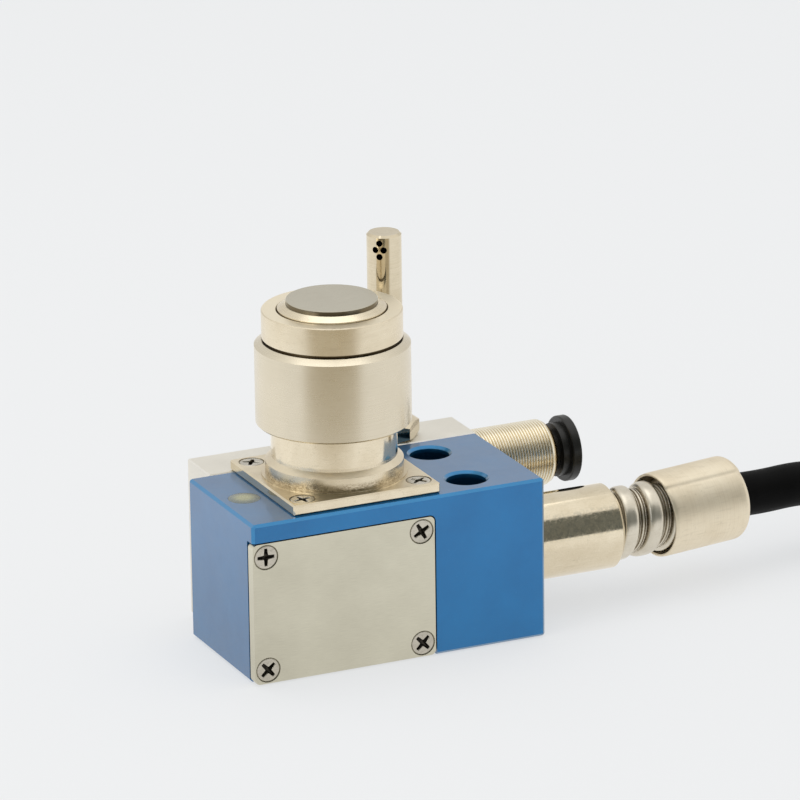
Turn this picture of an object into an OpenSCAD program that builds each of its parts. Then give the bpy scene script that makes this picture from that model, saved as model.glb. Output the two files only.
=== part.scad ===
// Tool setter for a machining centre. A sprung contact head slides on a square-flanged stem,
// the stem stands on a body block with a wiring cover, and a rear air block feeds a nozzle
// that blows chips off the contact. An armoured cable and an air fitting leave on the right.
// Millimetres, +Z up. The origin is on the base plane under the contact axis.

/* [Body block] */
// Width of the body block along the front
body_w = 69.6; // [64:0.1:80]
// Depth of the body block, front to back
body_d = 35; // [34:0.5:42]
// Height of the body block
body_h = 36.7; // [34:0.1:48]
// Distance from the left face to the contact axis
axis_from_left = 27.9; // [27:0.1:30]
// Distance from the front face to the contact axis
axis_from_front = 19; // [18.5:0.1:20]
// Chamfer along the outer edges of the blocks
edge_chamfer = 0.6; // [0.2:0.1:1]
// Diameter of the contact chamber bored from the top
chamber_d = 22; // [21:0.5:23]
// Thickness of metal left under the contact chamber
chamber_floor = 8; // [4:0.5:10]

/* [Mounting holes] */
// Distance between the two mounting holes
mount_spacing = 19; // [18:0.5:21]
// Distance from the right face to the mounting holes
mount_from_right = 15.2; // [14:0.1:16]
// Diameter of the mounting bolt's clearance hole
mount_hole_d = 5.5; // [4.5:0.1:6]
// Diameter of the counterbore for the bolt's head
mount_head_d = 8.8; // [8:0.1:9.5]
// Depth of the counterbore
mount_head_depth = 6; // [4:0.5:8]
// Chamfer at the mouth of the counterbore
mount_chamfer = 0.6; // [0.2:0.1:0.8]

/* [Front cover] */
// Width of the cover plate
cover_w = 43; // [41:0.5:44]
// Distance from the top of the body down to the cover
cover_drop = 4.5; // [4:0.5:7]
// Thickness of the cover plate
cover_t = 2.5; // [2:0.1:3]
// Thickness of the gasket behind the cover
gasket_t = 0.5; // [0.3:0.1:1]
// Corner radius of the cover plate
cover_corner = 1.2; // [0.5:0.1:2]
// Gap between the cover's edge and its recess
cover_gap = 0.3; // [0.1:0.05:0.5]
// Distance from the cover's edges to its screws
cover_screw_inset = 3.1; // [3:0.1:4]
// Wall between the cover's edges and the wiring pocket
pocket_inset = 7; // [6.5:0.5:9]
// Depth of the wiring pocket behind the gasket
pocket_depth = 5; // [4.5:0.1:5.2]
// Thickness of the terminal board
board_t = 1.6; // [1:0.1:2]

/* [Screws] */
// Thread diameter of the countersunk screws
screw_d = 3; // [2.5:0.1:3.2]
// Head diameter of the countersunk screws
screw_head_d = 5.6; // [5:0.1:5.8]
// Length of the countersunk screws
screw_l = 6; // [5:0.5:6.5]

/* [Indicator] */
// Diameter of the indicator lens
lens_d = 7; // [5:0.5:7]
// Depth of the indicator lens
lens_depth = 3; // [2:0.5:4]
// Distance from the left face to the lens
lens_from_left = 5.7; // [5.5:0.1:6]
// Diameter of the light-emitting diode
led_d = 3; // [2:0.5:3]

/* [Stem] */
// Side of the stem's square flange
flange_w = 34.8; // [33:0.1:35]
// Thickness of the square flange
flange_t = 2.35; // [2:0.05:4]
// Distance from the flange's edges to its screws
flange_screw_inset = 3.6; // [3.2:0.1:4]
// Diameter of the ring at the foot of the neck
ring_d = 30.3; // [30:0.1:31]
// Height of the ring
ring_h = 3.2; // [2:0.1:5]
// Height of the cone between the ring and the neck
cone_h = 1.15; // [0.5:0.05:2]
// Diameter of the neck that the skirt slides over
neck_d = 27.7; // [27:0.1:28.5]
// Depth of the stem's spigot in the chamber
spigot_h = 6; // [5:0.5:7]

/* [Contact head] */
// Travel of the contact head
stroke = 5; // [2:0.5:5.5]
// Room left below the skirt at full travel
over_travel = 2.4; // [0.5:0.1:3]
// Diameter of the skirt
skirt_d = 34.1; // [33:0.1:36]
// Height of the skirt
skirt_h = 18.8; // [18:0.1:24]
// Running gap between the skirt and the neck
skirt_gap = 0.35; // [0.3:0.05:0.6]
// Thickness of the skirt's roof
skirt_roof = 3; // [2:0.5:4]
// Height of the bevel round the skirt's top
skirt_bevel = 1.1; // [0.5:0.1:1.5]
// Diameter of the cap
cap_d = 30.8; // [29:0.1:32]
// Height of the cap
cap_h = 6.2; // [5.5:0.1:8]
// Height of the groove between the skirt and the cap
cap_groove = 0.6; // [0.3:0.1:1]
// Diameter of the contact holder
holder_d = 23.8; // [23:0.1:26]
// Height that the holder stands above the cap
holder_rise = 1.2; // [0.8:0.1:2]
// Diameter of the carbide contact disc
disc_d = 20; // [18:0.5:20.5]
// Thickness of the contact disc
disc_t = 2; // [1.5:0.1:2.4]
// Height that the disc stands above the holder
disc_rise = 1; // [0.2:0.1:1.2]

/* [Plunger] */
// Diameter of the plunger shaft
shaft_d = 8; // [7:0.1:8.5]
// Outer diameter of the guide bushes
bush_d = 12; // [11:0.1:12.5]
// Length of each guide bush
bush_l = 10; // [7:0.5:11]
// Thickness of the wiper seal
wiper_h = 2; // [1.5:0.1:3]
// Wire diameter of the return spring
spring_wire = 1.2; // [0.8:0.1:1.4]
// Mean diameter of the return spring
spring_d = 18.8; // [18.4:0.1:19.2]
// Number of turns of the return spring
spring_turns = 7; // [5:1:8]
// Depth of the spring's seat below the neck's top
spring_depth = 13; // [12:0.5:16]
// Thickness of the contact carrier
carrier_h = 3.4; // [3:0.1:4]
// Diameter of the contact collar
collar_d = 15; // [14:0.5:15.5]
// Thickness of the contact collar
collar_h = 3; // [2:0.5:3.5]

/* [Air block and nozzle] */
// Distance from the body's left face to the air block
block_inset = 5; // [2:0.5:10]
// Thickness of the air block
block_t = 12.5; // [12:0.5:16]
// Distance from the right face to the nozzle
nozzle_from_right = 18.7; // [17:0.1:19]
// Distance from the air block's back face to the air passage
air_from_back = 5.5; // [5:0.1:6.5]
// Height of the nozzle's tip above the air block
nozzle_rise = 47.5; // [30:0.1:60]
// Diameter of the nozzle
nozzle_d = 7.8; // [7:0.1:8]
// Diameter of the air passage in the nozzle
nozzle_bore = 4; // [3:0.1:4.5]
// Diameter of the jet holes
jet_d = 1.45; // [0.8:0.05:1.6]
// Distance from the nozzle's tip to the middle of the jets
jet_drop = 3.2; // [3:0.1:6]
// Width across the flats of the lock nut
nut_af = 13; // [11:0.5:13]
// Height of the lock nut
nut_h = 4; // [3:0.5:8]

/* [Air fitting] */
// Height of the air fitting's axis
fitting_z = 27; // [24:0.1:28]
// Outer diameter of the fitting's threaded barrel
fitting_d = 15; // [13:0.1:15.5]
// Length of the threaded barrel
fitting_l = 20.7; // [18:0.1:24]
// Outer diameter of the air tube
tube_d = 6; // [4:0.5:6]
// Travel of the release ring
release_travel = 1.2; // [0.8:0.1:1.5]
// Diameter of the release ring's flange
release_flange_d = 15; // [14.5:0.1:17]
// Diameter of the release ring's barrel
release_barrel_d = 12.2; // [11.5:0.1:13]
// Thickness of the release ring's flange
release_t = 2.2; // [1.8:0.1:3]

/* [Cable armour] */
// Height of the cable's axis
cable_z = 16.5; // [14:0.1:18]
// Diameter of the cable
cable_d = 10; // [8:0.1:10]
// Diameter of the gland
gland_d = 19.2; // [18.4:0.1:21]
// Length of the gland
gland_l = 24; // [20:0.5:32]
// Diameter of the gland's thread in the body
gland_thread_d = 15.8; // [14:0.1:16]
// Outer diameter of the corrugated hose
hose_d = 16.4; // [16:0.1:16.8]
// Distance between the hose's ridges
hose_pitch = 6; // [4.6:0.1:6.4]
// Length of hose that shows between the gland and the end sleeve
hose_show = 11.7; // [8:0.1:12]
// Angle by which the hose bends towards the back
hose_bend = 7.5; // [2:0.5:8]
// Diameter of the end sleeve
sleeve_d = 19.4; // [18.4:0.1:20]
// Length of the end sleeve
sleeve_l = 20.7; // [18:0.1:28]
// Wall of the end sleeve
sleeve_wall = 0.7; // [0.5:0.05:0.9]

/* [Hidden] */
$fn = 64;

// Clearances
seat_gap = 0.05;
press_gap = 0.02;
run_gap = 0.03;
slide_gap = 0.1;
cut = 1;

// Finishes
blue_anodised = [0.11, 0.40, 0.66];
satin_silver = [0.86, 0.86, 0.84];
satin_steel = [0.75, 0.74, 0.71];
nickel = [0.84, 0.80, 0.70];
steel = [0.60, 0.60, 0.62];
carbide = [0.55, 0.56, 0.57];
brass = [0.80, 0.62, 0.25];
bronze = [0.66, 0.46, 0.22];
rubber = [0.08, 0.08, 0.08];
plastic = [0.13, 0.12, 0.12];
lens_tint = [0.78, 0.80, 0.55];
board_green = [0.10, 0.38, 0.20];

// Faces of the body
left_x = -axis_from_left;
right_x = body_w - axis_from_left;
front_y = -axis_from_front;
back_y = body_d - axis_from_front;
mid_y = (front_y + back_y) / 2;
chamber_r = chamber_d / 2;
mount_x = right_x - mount_from_right;
lens_x = left_x + lens_from_left;

// Cover, gasket and pocket, with X from the left face
cover_lift = 0.2;
cover_h = body_h - cover_drop - cover_lift;
recess_t = cover_t + gasket_t;
gasket_inset = 0.4;
pocket_w = cover_w - 2 * pocket_inset;
pocket_h = cover_h - 2 * pocket_inset;
pocket_y = front_y + recess_t + pocket_depth;
board_gap = 0.3;
board_screw_inset = 2.5;
board_screw_d = 2;
board_screw_head_d = 3.6;
board_screw_head_h = 1.3;
board_screw_l = 5;
terminal_h = 3;
terminal_w = 12;
terminal_tall = 6;
terminal_poles = 4;
cover_turns = [42, 45, 0, 30];

// Indicator
led_step = 0.45;
led_h = 4;
led_rim_h = 1;
led_hole_d = led_d + 2 * led_step + 2 * seat_gap;
wire_duct_d = 3;
wire_duct_z = body_h - lens_depth - led_h - wire_duct_d;
cable_duct_d = 8;

// Heights of the stem and head
flange_top = body_h + flange_t;
foot_lip = 0.9;
foot_lip_h = 0.4;
ring_top = flange_top + ring_h;
cone_top = ring_top + cone_h;
skirt_z = cone_top + over_travel + stroke;
skirt_top = skirt_z + skirt_h;
roof_z = skirt_top - skirt_roof;
neck_top = roof_z - stroke - over_travel;
cap_z = skirt_top + cap_groove;
cap_top = cap_z + cap_h;
holder_top = cap_top + holder_rise;
disc_top = holder_top + disc_rise;
spigot_z = body_h - spigot_h;
spigot_r = chamber_r - seat_gap;
spring_z = neck_top - spring_depth;
spring_pocket_r = (spring_d + spring_wire) / 2 + 1;
spring_boss_r = (spring_d - spring_wire) / 2 - 1;
seal_wire = 1.44;
seal_room = 0.06;
seal_groove_w = seal_wire + 2 * seal_room;
flange_turns = [10, 35, 55, 20];

// Head pieces
stud_d = 5;
stud_l = 8;
skirt_roof_r = cap_d / 2 + 0.1;
cap_groove_r = cap_d / 2 - 0.6;
cap_chamfer = 0.2;
cap_mouth = 0.3;
holder_sink = disc_t - disc_rise - holder_rise + 1.7;

// Plunger and contacts
carrier_z = spigot_z - carrier_h;
carrier_d = chamber_d - 2;
pin_rise = 0.6;
pin_d = 2.4;
pin_r = (collar_d - pin_d) / 2 - 0.4;
pin_seat = 2;
collar_top = carrier_z - pin_rise - seat_gap;
collar_z = collar_top - collar_h;
tail_d = shaft_d - 2;
collar_bush_d = shaft_d + 1;
bush_flange_h = 1;
bush_flange_d = collar_d - 2;
collar_nut_af = 10;
collar_nut_h = 3;
tail_z = collar_z - bush_flange_h - collar_nut_h - 0.5;
carrier_screw_d = 2;
carrier_screw_head_d = 3.4;
carrier_screw_l = 6;
carrier_screw_r = (carrier_d - carrier_screw_head_d) / 2 - 0.2;

// Air block, nozzle and fitting
block_x = left_x + block_inset;
block_w = right_x - block_x;
block_lift = 0.5;
block_back = back_y + block_t;
air_y = block_back - air_from_back;
nozzle_x = right_x - nozzle_from_right;
nozzle_foot = 7;
nozzle_hole = 14;
nozzle_tip = body_h + nozzle_rise;
nozzle_chamfer = 0.5;
nozzle_roof = 1.6;
jet_turn = 230;
jet_rise = 1.55;
jet_spread = 14;
nut_turn = 49;
nut_chamfer = 1.3;
spigot_thread_d = 9.6;
spigot_thread_l = 8;
air_passage_d = 4;
tube_r = tube_d / 2 + seat_gap;
tube_stop = 4;
tube_seat_l = 6;
tube_seal_l = 2.5;
collet_l = 2;
release_sleeve_r = tube_r + 1.5;
seal_bore_r = tube_r + 0.3;
collet_bore_r = tube_r + 0.35;
release_bore_r = tube_r + 0.4;
release_x = right_x + fitting_l;
release_gap = release_travel + 0.4;
release_neck = 4;
release_dip = release_travel + 1.3;
block_screw_d = 4;
block_screw_head_d = 7;
block_screw_head_h = 4;
block_screw_sink = 4.4;
block_screw_grip = 6;
block_screw_inset = 5.5;
block_screw_z = 11;

// Cable armour
gland_x = right_x + gland_l;
gland_thread_l = 9;
gland_chamfer = 0.8;
cable_room = 0.3;
gland_seal_l = 4;
gland_seal_wall = 1.4;
hose_seat = 8;
hose_room = 0.05;
hose_wave = 1.3;
hose_bore_r = cable_d / 2 + 0.6;
ferrule_l = 4;
bend_sides = 12;
bend_r = 100;
hose_roll = 8;
hose_crown = 2.3;
bend_l = bend_r * hose_bend * PI / 180;
sleeve_back = bend_l - hose_show;
sleeve_front = sleeve_l - sleeve_back;
sleeve_round = 1.5;
seam_w = 0.2;
seam_depth = 0.25;
seam_turn = 24;

// Cable route from the end sleeve down to the coil, chosen by hand
route = [[97.9, 1.84, 16.97], [101.67, 2.33, 16.85], [105.33, 2.81, 16.65], [109.0, 3.29, 16.55],
    [112.77, 3.78, 16.55], [116.53, 4.32, 16.37], [120.19, 4.89, 15.87], [123.83, 5.52, 15.12],
    [127.57, 6.23, 14.14], [131.29, 6.99, 13.0], [134.9, 7.79, 11.79], [138.51, 8.64, 10.54],
    [142.19, 9.56, 9.26], [145.86, 10.55, 8.06], [149.42, 11.56, 7.0], [152.96, 12.63, 6.12],
    [156.58, 13.78, 5.44], [160.19, 14.98, 5.06], [163.68, 16.21, 5.0], [167.15, 17.49, 5.0],
    [170.7, 18.86, 5.0], [174.22, 20.28, 5.0], [177.63, 21.71, 5.0], [181.02, 23.2, 5.0],
    [184.48, 24.78, 5.0]];
coil_entry = 25;
coil_inner_r = 40.5;
coil_outer_r = 50.5;
coil_x = route[len(route) - 1].x + coil_outer_r * sin(coil_entry);
coil_y = route[len(route) - 1].y - coil_outer_r * cos(coil_entry);
coil_layers = 3;
coil_end_turn = 231;
coil_top_sweep = 164;
coil_inner_turn = 75;
coil_inner_sweep = 275;
coil_ease = 0.3;
end_sleeve_d = 10.7;
end_sleeve_sweep = 18;
end_sleeve_ease = 0.4;
lead_d = 1.8;
lead_sweep = 26;
lead_pitch = 2.2;
lead_count = 4;

// Block with the same chamfer on all its edges, from the origin
module chamfer_block(size, c) {
    intersection() {
        linear_extrude(size.z) clipped_rect(size.x, size.y, c);
        translate([0, size.y, 0]) rotate([90, 0, 0]) linear_extrude(size.y) clipped_rect(size.x, size.z, c);
        rotate([90, 0, 90]) linear_extrude(size.x) clipped_rect(size.y, size.z, c);
    }
}

module clipped_rect(w, h, c) {
    polygon([[c, 0], [w - c, 0], [w, c], [w, h - c], [w - c, h], [c, h], [0, h - c], [0, c]]);
}

module round_rect(w, h, r) {
    translate([r, 0]) square([w - 2 * r, h]);
    translate([0, r]) square([w, h - 2 * r]);
    for (x = [r, w - r])
        for (y = [r, h - r])
            translate([x, y]) circle(r = r);
}

// Places children on the front face: X from the left face, Y up from the base, Z out of the face
module on_front() {
    translate([left_x, front_y, 0]) rotate([90, 0, 0]) children();
}

// Points an axis along +X from a point on the right face
module on_right(y, z) {
    translate([right_x, y, z]) rotate([0, 90, 0]) children();
}

module ring_solid(outer_r, inner_r, h) {
    difference() {
        cylinder(r = outer_r, h = h);
        translate([0, 0, -cut]) cylinder(r = inner_r, h = h + 2 * cut);
    }
}

// Bar with a chamfered far end, standing on the origin
module chamfer_bar(r, h, c) {
    rotate_extrude() polygon([[0, 0], [r, 0], [r, h - c], [r - c, h], [0, h]]);
}

// Countersunk screw with a cross recess, its head's top at the origin
module csk_screw(turn) {
    rim = 0.2;
    head_r = screw_head_d / 2;
    shank_r = screw_d / 2;
    bar_w = 0.8;
    bar_l = 3;
    recess = 1.2;
    difference() {
        rotate_extrude() polygon([[0, -screw_l], [shank_r, -screw_l], [shank_r, shank_r - head_r - rim],
            [head_r, -rim], [head_r, 0], [0, 0]]);
        for (a = [0, 90])
            rotate([0, 0, turn + a]) translate([-bar_l / 2, -bar_w / 2, -recess])
                cube([bar_l, bar_w, recess + cut]);
    }
}

// Seat for such a screw, cut down from the origin
module csk_seat(depth) {
    rim = 0.2;
    head_r = screw_head_d / 2 + seat_gap;
    shank_r = screw_d / 2 + press_gap;
    rotate_extrude() polygon([[0, -depth], [shank_r, -depth], [shank_r, shank_r - head_r - rim],
        [head_r, -rim], [head_r, cut], [0, cut]]);
}

// Cheese-head screw, its head's bearing face at the origin
module head_screw(d, l, head_d, head_h, slot_w) {
    difference() {
        union() {
            translate([0, 0, -l]) cylinder(d = d, h = l);
            chamfer_bar(head_d / 2, head_h, head_h / 8);
        }
        translate([-head_d, -slot_w / 2, head_h / 2]) cube([2 * head_d, slot_w, head_h]);
    }
}

// Socket-head screw, its head's bearing face at the origin
module socket_screw(d, l, head_d, head_h) {
    difference() {
        union() {
            translate([0, 0, -l]) cylinder(d = d, h = l);
            chamfer_bar(head_d / 2, head_h, head_h / 10);
        }
        translate([0, 0, head_h / 2]) cylinder(d = d, h = head_h, $fn = 6);
    }
}

// Hexagon nut with chamfered corners, standing on the origin
module hex_nut(af, h, bore_r, c) {
    corner_r = af / sqrt(3);
    difference() {
        intersection() {
            cylinder(r = corner_r, h = h, $fn = 6);
            rotate_extrude() polygon([[0, 0], [corner_r - c, 0], [corner_r, 0.58 * c],
                [corner_r, h - 0.58 * c], [corner_r - c, h], [0, h]]);
        }
        translate([0, 0, -cut]) cylinder(r = bore_r, h = h + 2 * cut);
    }
}

function cover_spots() = [for (z = [cover_screw_inset, cover_h - cover_screw_inset])
    for (x = [cover_screw_inset, cover_w - cover_screw_inset]) [x, z + cover_lift]];
function flange_spots() = let (s = flange_w / 2 - flange_screw_inset) [[-s, -s], [s, -s], [-s, s], [s, s]];
function board_spots() = [board_screw_inset, pocket_w - board_screw_inset];
function mount_spots() = [mid_y - mount_spacing / 2, mid_y + mount_spacing / 2];
function block_screw_spots() = [block_x + block_screw_inset, right_x - block_screw_inset];

// Body block with its chamber, wiring pocket, ducts and holes
module body() {
    color(blue_anodised) difference() {
        translate([left_x, front_y, 0]) chamfer_block([body_w, body_d, body_h], edge_chamfer);
        on_front() translate([-cut, -cut, -recess_t])
            linear_extrude(recess_t + cut)
                cover_recess();
        on_front() translate([pocket_inset, pocket_inset + cover_lift, -recess_t - pocket_depth])
            linear_extrude(pocket_depth + cut) round_rect(pocket_w, pocket_h, cover_corner);
        for (i = [0 : 3])
            on_front() translate([cover_spots()[i].x, cover_spots()[i].y, 0]) csk_seat(screw_l + cut);
        for (x = board_spots())
            translate([left_x + pocket_inset + x, pocket_y, cover_lift + cover_h / 2]) rotate([-90, 0, 0])
                translate([0, 0, -cut]) cylinder(d = board_screw_d + 2 * press_gap, h = board_screw_l + cut);
        translate([0, 0, chamber_floor]) cylinder(d = chamber_d, h = body_h);
        translate([0, 0, body_h - seal_groove_w])
            cylinder(r = spigot_r + seal_groove_w, h = seal_groove_w + cut);
        for (p = flange_spots())
            translate([p.x, p.y, flange_top]) csk_seat(screw_l + cut);
        for (y = mount_spots())
            translate([mount_x, y, 0]) mount_hole();
        translate([lens_x, mid_y, body_h - lens_depth])
            cylinder(d = lens_d + 2 * seat_gap, h = lens_depth + cut);
        translate([lens_x, mid_y, wire_duct_z]) cylinder(d = led_hole_d, h = body_h - wire_duct_z);
        translate([lens_x, mid_y, wire_duct_z]) rotate([0, 90, 0]) cylinder(d = wire_duct_d, h = -lens_x);
        translate([0, mid_y, cable_z]) rotate([0, 90, 0]) cylinder(d = cable_duct_d, h = right_x);
        on_right(mid_y, cable_z) translate([0, 0, -gland_thread_l])
            cylinder(d = gland_thread_d + 2 * press_gap, h = gland_thread_l + cut);
        for (x = block_screw_spots())
            translate([x, back_y, block_screw_z]) rotate([90, 0, 0]) translate([0, 0, -cut])
                cylinder(d = block_screw_d + 2 * press_gap, h = block_screw_grip + 2 * cut);
    }
}

// Recess of the cover, open at the left and at the bottom
module cover_recess() {
    w = cover_w + cover_gap + cut;
    h = cover_h + cover_lift + cover_gap + cut;
    r = cover_corner + cover_gap;
    square([w, h - r]);
    square([w - r, h]);
    translate([w - r, h - r]) circle(r = r);
}

// Counterbored hole for a mounting bolt, chamfered at its mouth
module mount_hole() {
    head_r = mount_head_d / 2;
    translate([0, 0, -cut]) cylinder(d = mount_hole_d, h = body_h + 2 * cut);
    translate([0, 0, body_h - mount_head_depth]) cylinder(r = head_r, h = mount_head_depth + cut);
    translate([0, 0, body_h - mount_chamfer])
        cylinder(r1 = head_r, r2 = head_r + mount_chamfer + cut, h = mount_chamfer + cut);
}

// Air block screwed to the back of the body
module rear_block() {
    color(satin_silver) difference() {
        translate([block_x, back_y, block_lift])
            chamfer_block([block_w, block_t, body_h - block_lift], edge_chamfer / 2);
        translate([nozzle_x, air_y, body_h - nozzle_hole])
            cylinder(d = nozzle_d + 2 * press_gap, h = nozzle_hole + cut);
        translate([nozzle_x, air_y, fitting_z]) rotate([0, 90, 0])
            cylinder(d = air_passage_d, h = nozzle_from_right);
        on_right(air_y, fitting_z) translate([0, 0, -spigot_thread_l])
            cylinder(d = spigot_thread_d + 2 * press_gap, h = spigot_thread_l + cut);
        for (x = block_screw_spots())
            translate([x, block_back, block_screw_z]) rotate([90, 0, 0]) {
                translate([0, 0, -cut]) cylinder(d = block_screw_d + 0.4, h = block_t + 2 * cut);
                translate([0, 0, -cut]) cylinder(d = block_screw_head_d + 0.6, h = block_screw_sink + cut);
            }
    }
}

module rear_block_screws() {
    color(steel) for (x = block_screw_spots())
        translate([x, block_back - block_screw_sink, block_screw_z]) rotate([-90, 0, 0])
            socket_screw(block_screw_d, block_t - block_screw_sink + block_screw_grip,
                block_screw_head_d, block_screw_head_h);
}

// Blank cover plate, flush with the front
module front_cover() {
    color(satin_steel) difference() {
        on_front() translate([0, cover_lift, -cover_t])
            linear_extrude(cover_t) round_rect(cover_w, cover_h, cover_corner);
        for (p = cover_spots())
            on_front() translate([p.x, p.y, 0]) csk_seat(cover_t + cut);
    }
}

module cover_gasket() {
    color(rubber) difference() {
        on_front() translate([gasket_inset, cover_lift + gasket_inset, -recess_t])
            linear_extrude(gasket_t)
                round_rect(cover_w - 2 * gasket_inset, cover_h - 2 * gasket_inset, cover_corner);
        on_front() translate([pocket_inset, pocket_inset + cover_lift, -recess_t - cut])
            linear_extrude(gasket_t + 2 * cut) round_rect(pocket_w, pocket_h, cover_corner);
        for (p = cover_spots())
            on_front() translate([p.x, p.y, -recess_t - cut])
                cylinder(d = screw_d + 2 * slide_gap, h = gasket_t + 2 * cut);
    }
}

module cover_screws() {
    color(steel) for (i = [0 : 3])
        on_front() translate([cover_spots()[i].x, cover_spots()[i].y, 0]) csk_screw(cover_turns[i]);
}

// Circuit board on the floor of the wiring pocket
module terminal_board() {
    color(board_green) translate([left_x + pocket_inset, pocket_y, cover_lift + pocket_inset])
        rotate([90, 0, 0]) difference() {
            translate([board_gap, board_gap, 0]) linear_extrude(board_t)
                round_rect(pocket_w - 2 * board_gap, pocket_h - 2 * board_gap, cover_corner);
            for (x = board_spots())
                translate([x, pocket_h / 2, -cut])
                    cylinder(d = board_screw_d + 2 * slide_gap, h = board_t + 2 * cut);
        }
}

// Screw-terminal strip soldered to the board
module terminal_block() {
    pole = terminal_w / terminal_poles;
    color(plastic) translate([left_x + pocket_inset + (pocket_w - terminal_w) / 2, pocket_y - board_t,
        cover_lift + pocket_inset + (pocket_h - terminal_tall) / 2]) rotate([90, 0, 0])
        difference() {
            cube([terminal_w, terminal_tall, terminal_h]);
            for (i = [0 : terminal_poles - 1])
                translate([(i + 0.5) * pole, terminal_tall * 0.62, terminal_h / 2])
                    cylinder(d = pole * 0.7, h = terminal_h);
        }
}

module board_screws() {
    color(steel) for (x = board_spots())
        translate([left_x + pocket_inset + x, pocket_y - board_t, cover_lift + cover_h / 2])
            rotate([90, 0, 0]) head_screw(board_screw_d, board_screw_l, board_screw_head_d,
                board_screw_head_h, 0.5);
}

// Domed lens let into the top of the body
module indicator_lens() {
    dome = 0.25;
    r = lens_d / 2;
    color(lens_tint) translate([lens_x, mid_y, body_h - lens_depth]) rotate_extrude()
        polygon([[0, 0], [r, 0], [r, lens_depth], [r * 0.7, lens_depth + dome * 0.6],
            [r * 0.35, lens_depth + dome * 0.92], [0, lens_depth + dome]]);
}

// Light-emitting diode under the lens, held by its rim
module led() {
    r = led_d / 2;
    color(lens_tint) translate([lens_x, mid_y, body_h - lens_depth - led_h]) {
        cylinder(r = r + led_step, h = led_rim_h);
        cylinder(r = r, h = led_h - r - seat_gap);
        translate([0, 0, led_h - r - seat_gap]) intersection() {
            sphere(r = r);
            translate([0, 0, r]) cube(2 * r, center = true);
        }
    }
}

// Square-flanged stem: spigot, flange, ring, neck and the seats of the spring and bushes
module stem() {
    ring_r = ring_d / 2;
    neck_r = neck_d / 2;
    bore_r = bush_d / 2 + press_gap;
    tip = 0.4;
    color(nickel) difference() {
        union() {
            translate([-flange_w / 2, -flange_w / 2, body_h])
                chamfer_block([flange_w, flange_w, flange_t], 0.35);
            rotate_extrude() polygon([[bore_r, spigot_z], [spigot_r, spigot_z], [spigot_r, flange_top - cut],
                [ring_r + foot_lip, flange_top - cut], [ring_r + foot_lip, flange_top + foot_lip_h],
                [ring_r, flange_top + foot_lip_h], [ring_r, ring_top], [neck_r, cone_top],
                [neck_r, neck_top - tip], [neck_r - tip, neck_top], [spring_pocket_r, neck_top],
                [spring_pocket_r, spring_z], [spring_boss_r, spring_z], [spring_boss_r, neck_top],
                [bore_r, neck_top]]);
        }
        translate([0, 0, body_h - cut]) cylinder(r = bore_r, h = flange_t + 2 * cut);
        for (p = flange_spots())
            translate([p.x, p.y, flange_top]) csk_seat(screw_l + cut);
        for (s = [-1, 1])
            translate([s * carrier_screw_r, 0, spigot_z - cut])
                cylinder(d = carrier_screw_d + 2 * press_gap, h = carrier_screw_l - carrier_h + 2 * cut);
    }
}

// Ring seal squeezed between the flange, the spigot and the body
module flange_seal() {
    color(rubber) translate([0, 0, body_h - seal_groove_w / 2]) rotate_extrude()
        translate([spigot_r + seal_groove_w / 2, 0]) circle(d = seal_wire);
}

module flange_screws() {
    color(steel) for (i = [0 : 3])
        translate([flange_spots()[i].x, flange_spots()[i].y, flange_top]) csk_screw(flange_turns[i]);
}

module guide_bush() {
    color(bronze) ring_solid(bush_d / 2, shaft_d / 2 + run_gap, bush_l);
}

module upper_bush() {
    translate([0, 0, neck_top - wiper_h - bush_l]) guide_bush();
}

module lower_bush() {
    translate([0, 0, spigot_z]) guide_bush();
}

// Lipped wiper on top of the upper bush
module wiper_seal() {
    inner_r = shaft_d / 2 + run_gap;
    lip = 0.6;
    outer_r = bush_d / 2;
    color(rubber) translate([0, 0, neck_top - wiper_h]) rotate_extrude()
        polygon([[inner_r + lip, 0], [outer_r, 0], [outer_r, wiper_h], [inner_r + lip, wiper_h],
            [inner_r, wiper_h + lip], [inner_r, wiper_h - lip]]);
}

// Insulating disc under the spigot that holds the fixed contacts
module contact_carrier() {
    color(plastic) difference() {
        translate([0, 0, carrier_z]) ring_solid(carrier_d / 2, collar_bush_d / 2 + slide_gap, carrier_h);
        for (s = [-1, 1]) {
            translate([s * carrier_screw_r, 0, carrier_z - cut])
                cylinder(d = carrier_screw_d + 2 * slide_gap, h = carrier_h + 2 * cut);
            translate([s * carrier_screw_r, 0, carrier_z - cut])
                cylinder(d = carrier_screw_head_d + 2 * slide_gap, h = carrier_h / 2 + cut);
            translate([0, s * pin_r, carrier_z - cut])
                cylinder(d = pin_d + 2 * press_gap, h = pin_seat + cut);
        }
    }
}

module carrier_screws() {
    head_h = 1.2;
    color(steel) for (s = [-1, 1])
        translate([s * carrier_screw_r, 0, carrier_z + carrier_h / 2]) rotate([180, 0, 0])
            head_screw(carrier_screw_d, carrier_screw_l - carrier_h / 2, carrier_screw_head_d, head_h, 0.5);
}

// Fixed contacts that the collar bridges at rest
module contact_pins() {
    color(brass) for (s = [-1, 1])
        translate([0, s * pin_r, carrier_z - pin_rise]) cylinder(d = pin_d, h = pin_rise + pin_seat);
}

// Skirt that slides over the neck and keeps chips off the wiper
module skirt() {
    outer_r = skirt_d / 2;
    inner_r = neck_d / 2 + skirt_gap;
    lead_in = 0.4;
    color(satin_steel) rotate_extrude()
        polygon([[inner_r + lead_in, skirt_z], [outer_r - lead_in, skirt_z], [outer_r, skirt_z + lead_in],
            [outer_r, skirt_top - skirt_bevel], [skirt_roof_r, skirt_top],
            [stud_d / 2 + slide_gap, skirt_top],
            [stud_d / 2 + slide_gap, roof_z], [inner_r, roof_z], [inner_r, skirt_z + lead_in]]);
}

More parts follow.
